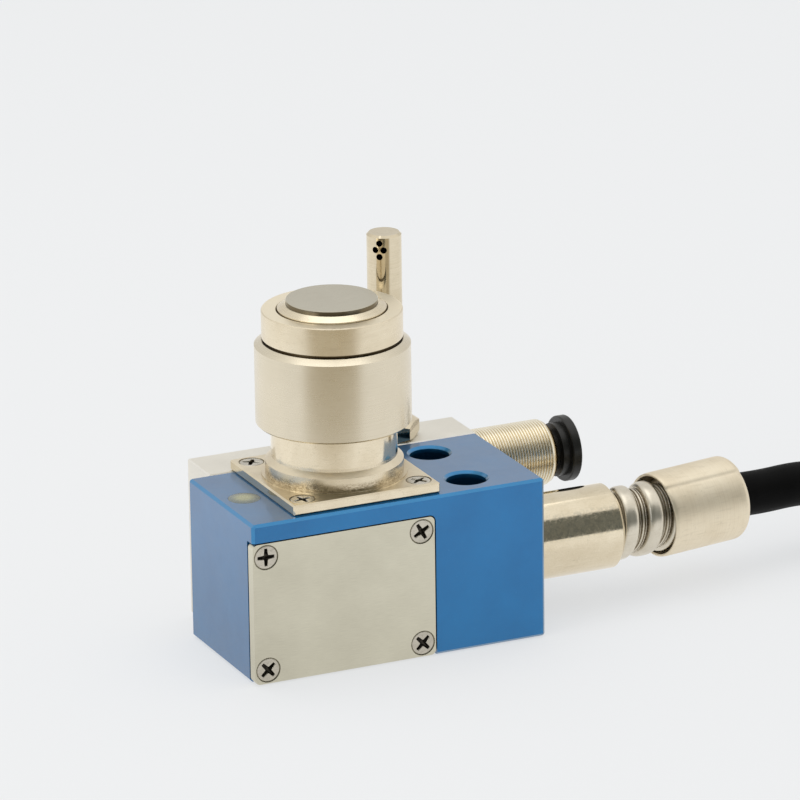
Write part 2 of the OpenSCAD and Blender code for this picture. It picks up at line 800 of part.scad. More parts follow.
// Cap clamped on the skirt, with a groove under it
module head_cap() {
    r = cap_d / 2;
    sink = cap_top - holder_sink;
    mouth_r = holder_d / 2 + seat_gap;
    color(nickel) rotate_extrude()
        polygon([[stud_d / 2 + slide_gap, skirt_top], [cap_groove_r, skirt_top], [cap_groove_r, cap_z],
            [r - cap_chamfer / 2, cap_z], [r, cap_z + cap_chamfer / 2], [r, cap_top - cap_chamfer],
            [r - cap_chamfer, cap_top], [mouth_r + cap_mouth, cap_top],
            [mouth_r, cap_top - cap_mouth], [mouth_r, sink],
            [stud_d / 2 + slide_gap, sink]]);
}

// Bevelled holder of the contact disc, with the stud that clamps the head to the shaft
module contact_holder() {
    r = holder_d / 2;
    base = cap_top - holder_sink;
    land = 0.25;
    pocket_r = disc_d / 2 + seat_gap;
    pocket = disc_top - disc_t;
    tip = roof_z - stud_l;
    color(nickel) rotate_extrude()
        polygon([[0, tip], [stud_d / 2, tip], [stud_d / 2, base], [r, base], [r, cap_top + land],
            [pocket_r + land, holder_top], [pocket_r, holder_top], [pocket_r, pocket], [0, pocket]]);
}

module contact_disc() {
    edge = 0.1;
    color(carbide) translate([0, 0, disc_top - disc_t]) chamfer_bar(disc_d / 2, disc_t, edge);
}

// Plunger shaft, tapped for the stud and turned down for the collar
module plunger_shaft() {
    r = shaft_d / 2;
    hole_r = stud_d / 2 + press_gap;
    edge = 0.4;
    color(steel) rotate_extrude()
        polygon([[0, tail_z], [tail_d / 2 - edge, tail_z], [tail_d / 2, tail_z + edge],
            [tail_d / 2, collar_top], [r, collar_top], [r, roof_z], [hole_r, roof_z],
            [hole_r, roof_z - stud_l - cut], [0, roof_z - stud_l - cut]]);
}

// Flanged bush that insulates the collar from the shaft
module insulating_bush() {
    bore_r = tail_d / 2 + press_gap;
    z = collar_z - bush_flange_h;
    color(plastic) rotate_extrude()
        polygon([[bore_r, z], [bush_flange_d / 2, z], [bush_flange_d / 2, collar_z],
            [collar_bush_d / 2, collar_z],
            [collar_bush_d / 2, collar_top], [bore_r, collar_top]]);
}

module contact_collar() {
    color(brass) translate([0, 0, collar_z])
        ring_solid(collar_d / 2, collar_bush_d / 2 + press_gap, collar_h);
}

module collar_nut() {
    color(steel) translate([0, 0, collar_z - bush_flange_h - collar_nut_h])
        hex_nut(collar_nut_af, collar_nut_h, tail_d / 2 + press_gap, 0.4);
}

// Height of the spring's wire at turn t: closed end turns and an even pitch between them
function spring_height(t) = let (
        low = spring_z + spring_wire / 2 + press_gap,
        high = roof_z - spring_wire / 2 - press_gap,
        dead = spring_wire * 1.05,
        pitch = (high - low - 2 * dead) / (spring_turns - 2))
    t < 1 ? low + dead * t
    : t > spring_turns - 1 ? high - dead * (spring_turns - t)
    : low + dead + pitch * (t - 1);

// Open tube through rings of points, with flat ends
module swept_tube(rings) {
    sides = len(rings[0]);
    last = len(rings) - 1;
    walls = [for (i = [0 : last - 1]) for (j = [0 : sides - 1]) let (k = i + 1, n = (j + 1) % sides)
        [i * sides + j, i * sides + n, k * sides + n, k * sides + j]];
    start = [for (j = [sides - 1 : -1 : 0]) j];
    end = [for (j = [0 : sides - 1]) last * sides + j];
    polyhedron(points = [for (ring = rings) for (p = ring) p], faces = concat([start], walls, [end]));
}

// Hollow tube through rings of points that run out along its outside and back along its bore
module swept_loop(rings) {
    sides = len(rings[0]);
    count = len(rings);
    walls = [for (i = [0 : count - 1]) for (j = [0 : sides - 1])
        let (k = (i + 1) % count, n = (j + 1) % sides)
        [i * sides + j, i * sides + n, k * sides + n, k * sides + j]];
    polyhedron(points = [for (ring = rings) for (p = ring) p], faces = walls);
}

module return_spring() {
    steps = 16;
    sides = 8;
    wire_r = spring_wire / 2;
    color(steel) swept_tube([for (i = [0 : steps * spring_turns])
        let (t = i / steps, a = 360 * t, z = spring_height(t))
        [for (j = [0 : sides - 1]) let (b = 360 * j / sides, r = spring_d / 2 + wire_r * cos(b))
            [r * cos(a), r * sin(a), z + wire_r * sin(b)]]]);
}

// Blow-off nozzle: a drilled rod with a diamond of jets aimed at the contact
module air_nozzle() {
    r = nozzle_d / 2;
    color(nickel) translate([nozzle_x, air_y, 0]) difference() {
        translate([0, 0, body_h - nozzle_foot]) chamfer_bar(r, nozzle_foot + nozzle_rise, nozzle_chamfer);
        translate([0, 0, body_h - nozzle_foot - cut])
            cylinder(d = nozzle_bore, h = nozzle_foot + nozzle_rise - nozzle_roof + cut);
        for (jet = [[0, jet_rise], [0, -jet_rise], [-jet_spread, 0], [jet_spread, 0]])
            translate([0, 0, nozzle_tip - jet_drop + jet.y]) rotate([0, 90, jet_turn + jet.x])
                cylinder(d = jet_d, h = r + cut);
    }
}

module lock_nut() {
    color(nickel) translate([nozzle_x, air_y, body_h]) rotate([0, 0, nut_turn])
        hex_nut(nut_af, nut_h, nozzle_d / 2 + press_gap, nut_chamfer);
}

// Push-in fitting: threaded barrel with a tube stop, a seal groove and a seat for the release ring
module fitting_body() {
    r = fitting_d / 2;
    c = 0.6;
    nose = 1.7;
    stop = tube_stop;
    seat = stop + tube_seat_l;
    groove = seat + tube_seal_l;
    grip = groove + collet_l;
    color(nickel) on_right(air_y, fitting_z) rotate_extrude()
        polygon([[air_passage_d / 2, -spigot_thread_l], [spigot_thread_d / 2, -spigot_thread_l],
            [spigot_thread_d / 2, 0], [r - c, 0], [r, c], [r, fitting_l - nose],
            [r - 0.25 * nose, fitting_l - 0.5 * nose], [r - 0.75 * nose, fitting_l],
            [release_sleeve_r + slide_gap, fitting_l], [release_sleeve_r + slide_gap, grip],
            [release_sleeve_r + 0.6, grip], [release_sleeve_r + 0.6, seat], [tube_r, seat],
            [tube_r, stop], [air_passage_d / 2, stop]]);
}

module tube_seal() {
    color(rubber) on_right(air_y, fitting_z) translate([0, 0, tube_stop + tube_seat_l])
        ring_solid(release_sleeve_r + 0.6 - press_gap, seal_bore_r, tube_seal_l);
}

// Spring-steel ring whose teeth hold the tube
module grip_collet() {
    teeth = 8;
    slit = 0.5;
    color(steel) on_right(air_y, fitting_z) translate([0, 0, tube_stop + tube_seat_l + tube_seal_l])
        difference() {
            ring_solid(release_sleeve_r + 0.6 - press_gap, collet_bore_r, collet_l - seat_gap);
            for (i = [0 : teeth - 1])
                rotate([0, 0, 360 * i / teeth]) translate([0, -slit / 2, -cut])
                    cube([release_sleeve_r - 0.3, slit, collet_l + 2 * cut]);
        }
}

// Release ring: a sleeve in the fitting, a barrel and a rounded flange to press
module release_ring() {
    half = release_flange_d / 2;
    top = release_gap + release_neck;
    flange = top - release_t;
    soft = 0.1;
    round = 0.3;
    color(plastic) translate([release_x, air_y, fitting_z]) rotate([0, 90, 0]) rotate_extrude()
        polygon([[release_bore_r, -release_dip], [release_sleeve_r, -release_dip],
            [release_sleeve_r, release_gap],
            [release_barrel_d / 2, release_gap], [release_barrel_d / 2, flange], [half - round, flange],
            [half - soft, flange + soft], [half, flange + round], [half, top - round],
            [half - soft, top - soft], [half - round, top], [release_bore_r, top]]);
}

// Gland screwed into the right face, counterbored for the hose
module gland_body() {
    r = gland_d / 2;
    bore_r = cable_d / 2 + cable_room;
    socket_r = hose_d / 2 + hose_room;
    seal_r = bore_r + gland_seal_wall;
    color(nickel) on_right(mid_y, cable_z) rotate_extrude()
        polygon([[bore_r, -gland_thread_l], [gland_thread_d / 2, -gland_thread_l], [gland_thread_d / 2, 0],
            [r - gland_chamfer / 2, 0], [r, gland_chamfer / 2], [r, gland_l - gland_chamfer],
            [r - gland_chamfer, gland_l], [socket_r, gland_l], [socket_r, gland_l - hose_seat],
            [seal_r, gland_l - hose_seat], [seal_r, gland_l - hose_seat - gland_seal_l],
            [bore_r, gland_l - hose_seat - gland_seal_l]]);
}

// Rubber ring that grips the cable inside the gland
module gland_seal() {
    bore_r = cable_d / 2 + cable_room;
    color(rubber) on_right(mid_y, cable_z) translate([0, 0, gland_l - hose_seat - gland_seal_l])
        ring_solid(bore_r + gland_seal_wall - press_gap, cable_d / 2 + press_gap, gland_seal_l - seat_gap);
}

// Places children along the bent hose: local X follows the hose's axis
module at_bend(angle) {
    translate([gland_x, mid_y, cable_z]) rotate([hose_roll, 0, 0]) translate([0, bend_r, 0])
        rotate([0, 0, angle]) translate([0, -bend_r, 0]) children();
}

// Turns a vector about the gland's axis, as the plane of the bend is turned
function rolled(v) = [v.x, v.y * cos(hose_roll) - v.z * sin(hose_roll),
    v.y * sin(hose_roll) + v.z * cos(hose_roll)];

// Point on the hose's axis, and a ring of points round it, at a distance s from the gland's mouth
function bend_turn(s) = min(max(s / bend_l, 0), 1) * hose_bend;
function bend_point(s) = let (a = bend_turn(s), rest = s - bend_l * a / hose_bend)
    [gland_x, mid_y, cable_z] + rolled([bend_r * sin(a) + rest * cos(a),
        bend_r * (1 - cos(a)) + rest * sin(a), 0]);
function bend_ring(s, r) = let (a = bend_turn(s), c = bend_point(s))
    [for (j = [0 : bend_sides - 1]) let (b = 360 * j / bend_sides)
        c + r * rolled([cos(b) * sin(a), -cos(b) * cos(a), sin(b)])];
function bend_stops() = [for (i = [0 : 6]) bend_l * i / 6];
function hose_r(s) = hose_d / 2 - hose_wave * (0.5 - 0.5 * cos(360 * (s - hose_crown) / hose_pitch));

// Corrugated metal hose seated in the gland, with a crimped ferrule that carries the end sleeve
module hose() {
    first = seat_gap - hose_seat;
    last = bend_l + sleeve_front * 0.4;
    crimp = last - ferrule_l;
    count = ceil(8 * (crimp - first) / hose_pitch);
    ridges = [for (i = [0 : count]) let (s = first + (crimp - first) * i / count) bend_ring(s, hose_r(s))];
    ferrule = [for (s = [crimp, last]) bend_ring(s, sleeve_d / 2 - sleeve_wall - press_gap)];
    bore = [for (i = [6 : -1 : 0]) bend_ring(bend_stops()[i], hose_bore_r)];
    color(nickel) swept_loop(concat(ridges, ferrule, [bend_ring(last, hose_bore_r)], bore,
        [bend_ring(first, hose_bore_r)]));
}

// Rolled sleeve over the hose's end, with its seam and a rounded far end
module end_sleeve() {
    r = sleeve_d / 2;
    hole_r = cable_d / 2 + cable_room;
    far = sleeve_front;
    color(nickel) at_bend(hose_bend) rotate([0, 90, 0]) difference() {
        rotate_extrude() {
            polygon([[r - sleeve_wall, -sleeve_back], [r, -sleeve_back], [r, far - sleeve_round],
                [r - sleeve_wall, far - sleeve_round]]);
            polygon([[hole_r, far - sleeve_wall], [r - sleeve_round, far - sleeve_wall],
                [r - sleeve_round, far], [hole_r, far]]);
            intersection() {
                translate([r - sleeve_round, far - sleeve_round]) difference() {
                    circle(r = sleeve_round);
                    circle(r = sleeve_round - sleeve_wall);
                }
                translate([r - sleeve_round, far - sleeve_round]) square(sleeve_round);
            }
        }
        rotate([0, 0, 180 + seam_turn]) translate([r - seam_depth, -seam_w / 2, -sleeve_back - cut])
            cube([sleeve_wall + cut, seam_w, sleeve_l - sleeve_round]);
    }
}

// Stretch of the cable inside the gland, the hose and the sleeve
module cable_inner() {
    stops = concat([-gland_l - gland_thread_l], bend_stops(), [bend_l + sleeve_front]);
    color(rubber) swept_tube([for (s = stops) bend_ring(s, cable_d / 2)]);
}

// The route follows the sleeve's end when that moves, and keeps its place at the coil
function unit(v) = v / norm(v);
function route_last() = len(route) - 1;
function route_spot(i) = let (shift = bend_point(bend_l + sleeve_front) - route[0])
    route[i] + shift * pow(1 - i / route_last(), 2);
function route_way(i) = i == 0 ? rolled([cos(hose_bend), sin(hose_bend), 0])
    : i == route_last() ? [cos(coil_entry), sin(coil_entry), 0]
    : unit(route_spot(i + 1) - route_spot(i - 1));

// Plain tube along the route
module cable_run() {
    r = cable_d / 2;
    color(rubber) swept_tube([for (i = [0 : route_last()])
        let (way = route_way(i), side = unit(cross(way, [0, 0, 1])), rise = cross(side, way))
        [for (j = [0 : bend_sides - 1]) let (b = 360 * j / bend_sides)
            route_spot(i) + r * (cos(b) * side + sin(b) * rise)]]);
}

// Outer shape of the coil, with its last turns lying on the others
module cable_coil() {
    low = coil_layers * cable_d;
    r0 = coil_inner_r - cable_d / 2;
    r1 = coil_outer_r + cable_d / 2;
    color(rubber) translate([coil_x, coil_y, 0]) {
        rotate_extrude() translate([r0, 0]) square([r1 - r0, low]);
        rotate([0, 0, coil_inner_turn]) rotate_extrude(angle = coil_inner_sweep)
            translate([r0 + coil_ease, low - cut]) square([cable_d - 2 * coil_ease, cable_d + cut]);
        rotate([0, 0, coil_end_turn]) rotate_extrude(angle = coil_top_sweep)
            translate([r1 - cable_d + coil_ease, low - cut])
                square([cable_d - 2 * coil_ease, cable_d + cut]);
    }
}

// Shrink sleeve over the cable's cut end, lying on the coil
module cable_end_sleeve() {
    low = coil_layers * cable_d;
    color(rubber) translate([coil_x, coil_y, low + end_sleeve_d / 2])
        rotate([0, 0, coil_end_turn - end_sleeve_sweep]) rotate_extrude(angle = end_sleeve_sweep)
            translate([coil_outer_r + end_sleeve_ease, 0]) circle(d = end_sleeve_d);
}

// Flying leads that lie on the coil
module lead_wires() {
    low = coil_layers * cable_d;
    color(brass) translate([coil_x, coil_y, low + lead_d / 2])
        for (i = [0 : lead_count - 1])
            rotate([0, 0, coil_end_turn - end_sleeve_sweep - lead_sweep]) rotate_extrude(angle = lead_sweep)
                translate([coil_outer_r + (i - (lead_count - 1) / 2) * lead_pitch, 0]) circle(d = lead_d);
}

body();
rear_block();
rear_block_screws();
front_cover();
cover_gasket();
cover_screws();
terminal_board();
terminal_block();
board_screws();
indicator_lens();
led();
stem();
flange_seal();
flange_screws();
upper_bush();
lower_bush();
wiper_seal();
contact_carrier();
carrier_screws();
contact_pins();
skirt();
head_cap();
contact_holder();
contact_disc();
plunger_shaft();
insulating_bush();
contact_collar();
collar_nut();
return_spring();
air_nozzle();
lock_nut();
fitting_body();
tube_seal();
grip_collet();
release_ring();
gland_body();
gland_seal();
hose();
end_sleeve();
cable_inner();
cable_run();
cable_coil();
cable_end_sleeve();
lead_wires();
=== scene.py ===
import math

import bpy
import numpy as np
from mathutils import Matrix, Vector


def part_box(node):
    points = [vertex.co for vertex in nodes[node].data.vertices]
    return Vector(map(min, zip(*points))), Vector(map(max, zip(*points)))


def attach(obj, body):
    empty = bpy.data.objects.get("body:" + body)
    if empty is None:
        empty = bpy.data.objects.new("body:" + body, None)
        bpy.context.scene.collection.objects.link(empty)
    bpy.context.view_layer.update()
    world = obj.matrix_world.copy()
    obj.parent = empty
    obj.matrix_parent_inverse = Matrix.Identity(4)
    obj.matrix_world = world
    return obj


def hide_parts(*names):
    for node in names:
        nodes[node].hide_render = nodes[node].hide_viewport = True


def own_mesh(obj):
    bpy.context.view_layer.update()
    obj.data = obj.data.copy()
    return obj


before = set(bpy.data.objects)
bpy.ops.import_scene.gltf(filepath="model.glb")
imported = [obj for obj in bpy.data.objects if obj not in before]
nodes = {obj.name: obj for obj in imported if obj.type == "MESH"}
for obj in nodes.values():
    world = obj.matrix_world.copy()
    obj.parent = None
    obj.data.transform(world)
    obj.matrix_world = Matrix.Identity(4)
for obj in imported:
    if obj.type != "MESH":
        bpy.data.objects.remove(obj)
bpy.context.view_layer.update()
mm = 0.001
print("frame loaded")

# Camera, fitted to the photograph's edges: its place in millimetres and its three axes
camera = dict(eye=(-524.1, -1187.9, 487.7), right=(0.9084, -0.4178, -0.0131), up=(0.1433, 0.2820, 0.9486),
              back=(-0.3926, -0.8636, 0.3161), lens=283.3, sensor=36.0, clip=(0.05, 50.0))
camData = bpy.data.cameras.new("camera")
camData.lens = camera["lens"]
camData.sensor_width = camera["sensor"]
camData.clip_start, camData.clip_end = camera["clip"]
camObj = bpy.data.objects.new("camera", camData)
bpy.context.scene.collection.objects.link(camObj)
turn = Matrix([camera["right"], camera["up"], camera["back"]]).transposed().to_4x4()
camObj.matrix_world = Matrix.Translation([v * mm for v in camera["eye"]]) @ turn
bpy.context.scene.camera = camObj


# Shader sockets with arithmetic: each expression adds its Math node
class Sock:
    def __init__(self, net, out):
        self.net, self.out = net, out

    def __add__(self, o):
        return self.net.math("ADD", self, o)

    def __radd__(self, o):
        return self.net.math("ADD", o, self)

    def __sub__(self, o):
        return self.net.math("SUBTRACT", self, o)

    def __rsub__(self, o):
        return self.net.math("SUBTRACT", o, self)

    def __mul__(self, o):
        return self.net.math("MULTIPLY", self, o)

    def __rmul__(self, o):
        return self.net.math("MULTIPLY", o, self)

    def __truediv__(self, o):
        return self.net.math("DIVIDE", self, o)

    def __rtruediv__(self, o):
        return self.net.math("DIVIDE", o, self)


# One node tree and the few kinds of node that the materials use
class Net:
    def __init__(self, tree):
        self.tree = tree
        tree.nodes.clear()

    def node(self, kind, ins=None, **attrs):
        made = self.tree.nodes.new(kind)
        for key, value in attrs.items():
            setattr(made, key, value)
        for key, value in (ins or {}).items():
            self.feed(made.inputs[key], value)
        return made

    def feed(self, socket, value):
        if isinstance(value, Sock):
            self.tree.links.new(value.out, socket)
        else:
            socket.default_value = value

    def math(self, op, a, b=0.0):
        return Sock(self, self.node("ShaderNodeMath", {0: a, 1: b}, operation=op).outputs[0])

    def vec(self, op, a, b=(0, 0, 0), scale=1.0):
        ins = {0: a, "Scale": scale} if op == "SCALE" else {0: a, 1: b}
        made = self.node("ShaderNodeVectorMath", ins, operation=op)
        return Sock(self, made.outputs["Value" if op in ("DOT_PRODUCT", "LENGTH") else "Vector"])

    # Place on the piece, in millimetres
    def place(self):
        spot = Sock(self, self.node("ShaderNodeTexCoord").outputs["Object"])
        return self.vec("MULTIPLY", spot, (1 / mm,) * 3)

    def normal(self):
        return Sock(self, self.node("ShaderNodeTexCoord").outputs["Normal"])

    # 1 on faces square to the z axis, 0 on upright ones
    def level(self):
        return self.math("ABSOLUTE", self.split(self.normal())[2])

    def split(self, v):
        made = self.node("ShaderNodeSeparateXYZ", {0: v})
        return [Sock(self, made.outputs[i]) for i in range(3)]

    def join(self, x, y, z):
        return Sock(self, self.node("ShaderNodeCombineXYZ", {0: x, 1: y, 2: z}).outputs[0])

    # Distance from the z axis
    def reach(self, x, y):
        return self.vec("LENGTH", self.join(x, y, 0.0))

    # Place from an origin, travel along an axis through it, and distance from that axis
    def polar(self, p, origin, axis):
        q = self.vec("SUBTRACT", p, origin)
        along = self.vec("DOT_PRODUCT", q, axis)
        foot = self.vec("MULTIPLY", self.join(along, along, along), axis)
        return q, along, self.vec("LENGTH", self.vec("SUBTRACT", q, foot))

    def noise(self, v, scale, detail=3.0, rough=0.55):
        ins = {"Vector": v, "Scale": scale, "Detail": detail, "Roughness": rough}
        return Sock(self, self.node("ShaderNodeTexNoise", ins).outputs[0])

    def remap(self, v, a, b, c=0.0, d=1.0, smooth=False):
        kind = "SMOOTHSTEP" if smooth else "LINEAR"
        ins = {0: v, 1: a, 2: b, 3: c, 4: d}
        made = self.node("ShaderNodeMapRange", ins, interpolation_type=kind, clamp=True)
        return Sock(self, made.outputs[0])

    def blend(self, fac, a, b):
        made = self.node("ShaderNodeMix", {0: fac, 6: a, 7: b}, data_type="RGBA")
        return Sock(self, made.outputs[2])

    def bump(self, height, strength, distance):
        ins = {"Strength": strength, "Distance": distance, "Height": height}
        return Sock(self, self.node("ShaderNodeBump", ins).outputs[0])


# A colour with full alpha
def rgb(r, g, b):
    return (r, g, b, 1.0)


# Turning marks about an axis follow radius and travel, with a slow wander
turning = dict(wander=0.6, noise=(0.08, 1.0))


def turnedPlace(net, origin, axis):
    q, along, out = net.polar(net.place(), origin, axis)
    wander = net.noise(q, *turning["noise"]) * turning["wander"]
    return net.join(out + wander, along + wander, 0.0)


# A finished surface: tone, roughness and relief from patches of noise and a grain that may run one way
surface = dict(fine=(1.0, 4.0, 0.65), cloud=(4.0, 0.6), tone=(0.33, 0.67), smearScale=2.7, smear=(3.0, 0.7),
               smearShare=0.6, roughFrom=(0.3, 0.7))


def finish(name, dark, light, metal=1.0, rough=(0.2, 0.3), patch=0.12, grain=(6, 6, 6), turned=None,
           weight=0.4, relief=0.15, depth=0.02, coat=None, spec=None, edge=None, extra=None, sheen=None):
    mat = bpy.data.materials.new(name)
    mat.use_nodes = True
    net = Net(mat.node_tree)
    shader = net.node("ShaderNodeBsdfPrincipled", {"Metallic": metal})
    out = net.node("ShaderNodeOutputMaterial")
    net.tree.links.new(shader.outputs[0], out.inputs[0])
    p = net.place()
    marks = turnedPlace(net, *turned) if turned else p
    fine = net.noise(net.vec("MULTIPLY", marks, grain), *surface["fine"])
    cloud = net.noise(p, patch, *surface["cloud"])
    tone = net.remap(cloud * (1 - weight) + fine * weight, *surface["tone"])
    colour = net.blend(tone, rgb(*dark), rgb(*light))
    smear = net.noise(p, patch * surface["smearScale"], *surface["smear"])
    mixed = smear * surface["smearShare"] + fine * (1 - surface["smearShare"])
    roughness = net.remap(mixed, *surface["roughFrom"], *rough)
    height = fine
    if extra:
        colour, roughness, height = extra(net, p, colour, roughness, height)
    net.feed(shader.inputs["Base Color"], colour)
    net.feed(shader.inputs["Roughness"], roughness)
    net.feed(shader.inputs["Normal"], net.bump(height, relief, depth * mm))
    if coat:
        for key, value in zip(("Coat Weight", "Coat Roughness", "Coat IOR"), coat):
            shader.inputs[key].default_value = value
    if spec is not None:
        shader.inputs["Specular IOR Level"].default_value = spec
    if edge:
        shader.inputs["Specular Tint"].default_value = rgb(*edge)
    if sheen:
        shader.inputs["Sheen Weight"].default_value, shader.inputs["Sheen Roughness"].default_value = sheen
    return mat


# Lighter tint on the narrow bevels of a block, painted edge highlight as well as thin dye, and in a few
# specks
bevels = dict(flat=0.95, slanted=0.75, noise=(2.3, 2.0, 0.4), specks=(0.72, 0.78), speckShare=0.25)


def bevelTintAndHighlight(tint, share):
    def change(net, p, colour, roughness, height):
        parts = [net.math("ABSOLUTE", v) for v in net.split(net.normal())]
        most = net.math("MAXIMUM", parts[0], net.math("MAXIMUM", parts[1], parts[2]))
        bevel = net.remap(most, bevels["flat"], bevels["slanted"]) * share
        specks = net.remap(net.noise(p, *bevels["noise"]), *bevels["specks"])
        colour = net.blend(bevel, colour, rgb(*tint))
        return net.blend(specks * bevels["speckShare"], colour, rgb(*tint)), roughness, height
    return change


# Painted shade: a darker tint on the upright flank of a disc's rim
def sideShade(tint, upright=(0.5, 0.3)):
    def change(net, p, colour, roughness, height):
        return net.blend(net.remap(net.level(), *upright), colour, rgb(*tint)), roughness, height
    return change


# Fine dark smudges and pits in a bright plated face, and streaks along x
plating = dict(spotNoise=(0.9, 5.0, 0.7), spots=(0.58, 0.72), spotShare=0.7, stretch=(0.25, 0.9, 2.4),
               streakNoise=(1.0, 3.0, 0.6), streaks=(0.55, 0.75), streakShare=0.5, rough=0.06, pit=0.15)


def platedWear(tint, amount):
    def change(net, p, colour, roughness, height):
        spots = net.remap(net.noise(p, *plating["spotNoise"]), *plating["spots"])
        long = net.noise(net.vec("MULTIPLY", p, plating["stretch"]), *plating["streakNoise"])
        streak = net.remap(long, *plating["streaks"])
        mark = net.math("MAXIMUM", spots * plating["spotShare"], streak * plating["streakShare"])
        colour = net.blend(mark * amount, colour, rgb(*tint))
        return colour, roughness + mark * plating["rough"], height - mark * plating["pit"]
    return change


# Painted shade in the roots of a thread and in bores, where the distance from the axis is small, up to an end
def rootShade(origin, axis, low, high, tint, end=1000.0):
    def change(net, p, colour, roughness, height):
        along, out = net.polar(p, origin, axis)[1:]
        paintedShade = net.remap(out, high, low) * net.math("LESS_THAN", along, end)
        return net.blend(paintedShade, colour, rgb(*tint)), roughness, height
    return change


# Painted shade down the walls of upright holes, below a pale mouth
def holeShade(spots, radius, top, pale, fall, tint):
    def change(net, p, colour, roughness, height):
        x, y, z = net.split(p)
        deep = net.remap(z, top - pale, top - fall)
        for holeX, holeY in spots:
            inside = net.math("LESS_THAN", net.reach(x - holeX, y - holeY), radius)
            colour = net.blend(inside * deep, colour, rgb(*tint))
        return colour, roughness, height
    return change


# Thin painted shade round a seat: a ring about the z axis at one radius and height, full in its middle half
def seatLine(radius, width, low, high, tint):
    def change(net, p, colour, roughness, height):
        x, y, z = net.split(p)
        off = net.math("ABSOLUTE", net.reach(x, y) - radius)
        band = net.remap(off, width, width * 0.5) * net.math("GREATER_THAN", z, low)
        band = band * net.math("LESS_THAN", z, high)
        return net.blend(band, colour, rgb(*tint)), roughness, height
    return change


# Painted glow: a pale middle on a diffusing lens, greyer towards its rim
glowing = dict(noise=(0.5, 2.0), wander=0.12, fade=(0.30, 1.0), share=0.6)


def lensGlow(centre, radius, middle, rim):
    def change(net, p, colour, roughness, height):
        x, y = net.split(net.vec("SUBTRACT", p, centre))[:2]
        out = net.reach(x, y) / radius + net.noise(p, *glowing["noise"]) * glowing["wander"]
        glow = net.remap(out, *glowing["fade"], smooth=True)
        bright = net.blend(glowing["share"], colour, rgb(*middle))
        return net.blend(glow, bright, rgb(*rim)), roughness, height
    return change


# Satin on level faces, a softer ring above the flange, and brown tarnish in its corner
tarnish = dict(flat=(0.45, 0.70), upright=(0.6, 0.4), stretch=(1.3, 1.3, 2.6), noise=(1.0, 5.0, 0.75),
               foot=0.25, ringTop=(3.0, 2.6), fade=0.8, streaks=(0.40, 0.60, 0.75, 0.05), ringRough=0.16)


def stemFinish(satin, low, high, tint):
    def change(net, p, colour, roughness, height):
        level, z = net.level(), net.split(p)[2]
        flat = net.remap(level, *tarnish["flat"])
        streak = net.noise(net.vec("MULTIPLY", p, tarnish["stretch"]), *tarnish["noise"])
        ring = net.remap(z, low, low + tarnish["foot"]) * net.remap(level, *tarnish["upright"])
        ring = ring * net.remap(z, *[high + v for v in tarnish["ringTop"]])
        mark = ring * net.remap(z, high, high - tarnish["fade"]) * net.remap(streak, *tarnish["streaks"])
        roughness = roughness + flat * satin + ring * tarnish["ringRough"]
        return net.blend(mark, colour, rgb(*tint)), roughness, height
    return change


# Dull patches from handling on the side of a turned piece that faces one way, and painted dark reflection
# smeared there
handlingAndReflection = dict(side=(0.93, 0.972), spotNoise=(5.0, 0.75), spots=(0.42, 0.66), smearScale=0.7,
                smearNoise=(4.0, 0.7), smears=(0.45, 0.62), smearShare=0.45)


def mottle(way, scale, amount, tint):
    def change(net, p, colour, roughness, height):
        side = net.remap(net.vec("DOT_PRODUCT", net.normal(), way), *handlingAndReflection["side"], smooth=True)
        spots = net.remap(net.noise(p, scale, *handlingAndReflection["spotNoise"]), *handlingAndReflection["spots"]) * side
        smear = net.noise(p, scale * handlingAndReflection["smearScale"], *handlingAndReflection["smearNoise"])
        smear = net.remap(smear, *handlingAndReflection["smears"]) * side * handlingAndReflection["smearShare"]
        return net.blend(smear, colour, rgb(*tint)), roughness + spots * amount, height
    return change


# Painted light on faces square to the z axis: a paler tint, with a rougher lapped finish there
def lappedAndLitTop(amount, tint, share=0.8, flat=(0.93, 0.99)):
    def change(net, p, colour, roughness, height):
        level = net.remap(net.level(), *flat)
        return net.blend(level * share, colour, rgb(*tint)), roughness + level * amount, height
    return change


# Several changes, one after the other
def both(*changes):
    def change(net, p, colour, roughness, height):
        for one in changes:
            colour, roughness, height = one(net, p, colour, roughness, height)
        return colour, roughness, height
    return change


# Axes of the turned pieces: a point and a direction
zAxis = ((0, 0, 0), (0, 0, 1))
fittingAxis = ((0, 23.0, 27.0), (1, 0, 0))
nozzleAxis = ((23.0, 23.0, 0), (0, 0, 1))

# The hose's bend: an arc from the gland's mouth, in a plane rolled about the gland's axis
hoseBend = dict(mouth=np.array([65.7, -1.5, 16.5]), radius=100.0, angle=math.radians(7.5),
                roll=math.radians(8.0))
bend = hoseBend["angle"]


# Turns a vector about the gland's axis, as the plane of the hose's bend is turned
def rolled(v):
    v = np.asarray(v, float)
    c, s = math.cos(hoseBend["roll"]), math.sin(hoseBend["roll"])
    return np.stack([v[..., 0], v[..., 1] * c - v[..., 2] * s, v[..., 1] * s + v[..., 2] * c], -1)


bendEnd = rolled((hoseBend["radius"] * math.sin(bend), hoseBend["radius"] * (1 - math.cos(bend)), 0))
sleeveAxis = (tuple(hoseBend["mouth"] + bendEnd), tuple(rolled((math.cos(bend), math.sin(bend), 0))))

# Places that the finishes, the painted shade and the painted glow follow
boltHoles = dict(spots=[(26.5, -11.0), (26.5, 8.0)], radius=4.6, top=36.7, pale=0.3, fall=1.6)
jets = dict(low=3.70, high=3.84, end=83.5)
threadRoot = dict(low=7.12, high=7.34)
holderSeat = dict(radius=12.05, width=0.17, low=75.6, high=76.5)
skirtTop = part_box("skirt")[1][2] / mm
capGroove = dict(radius=14.9, width=0.65, low=skirtTop - 0.1, high=skirtTop + 0.63)
stemRing = dict(satin=0.20, low=39.05, high=41.3)
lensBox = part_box("indicator_lens")
lensMid = [(low + high) / 2 / mm for low, high in zip(*lensBox)]
lensR = (lensBox[1][0] - lensBox[0][0]) / 2 / mm

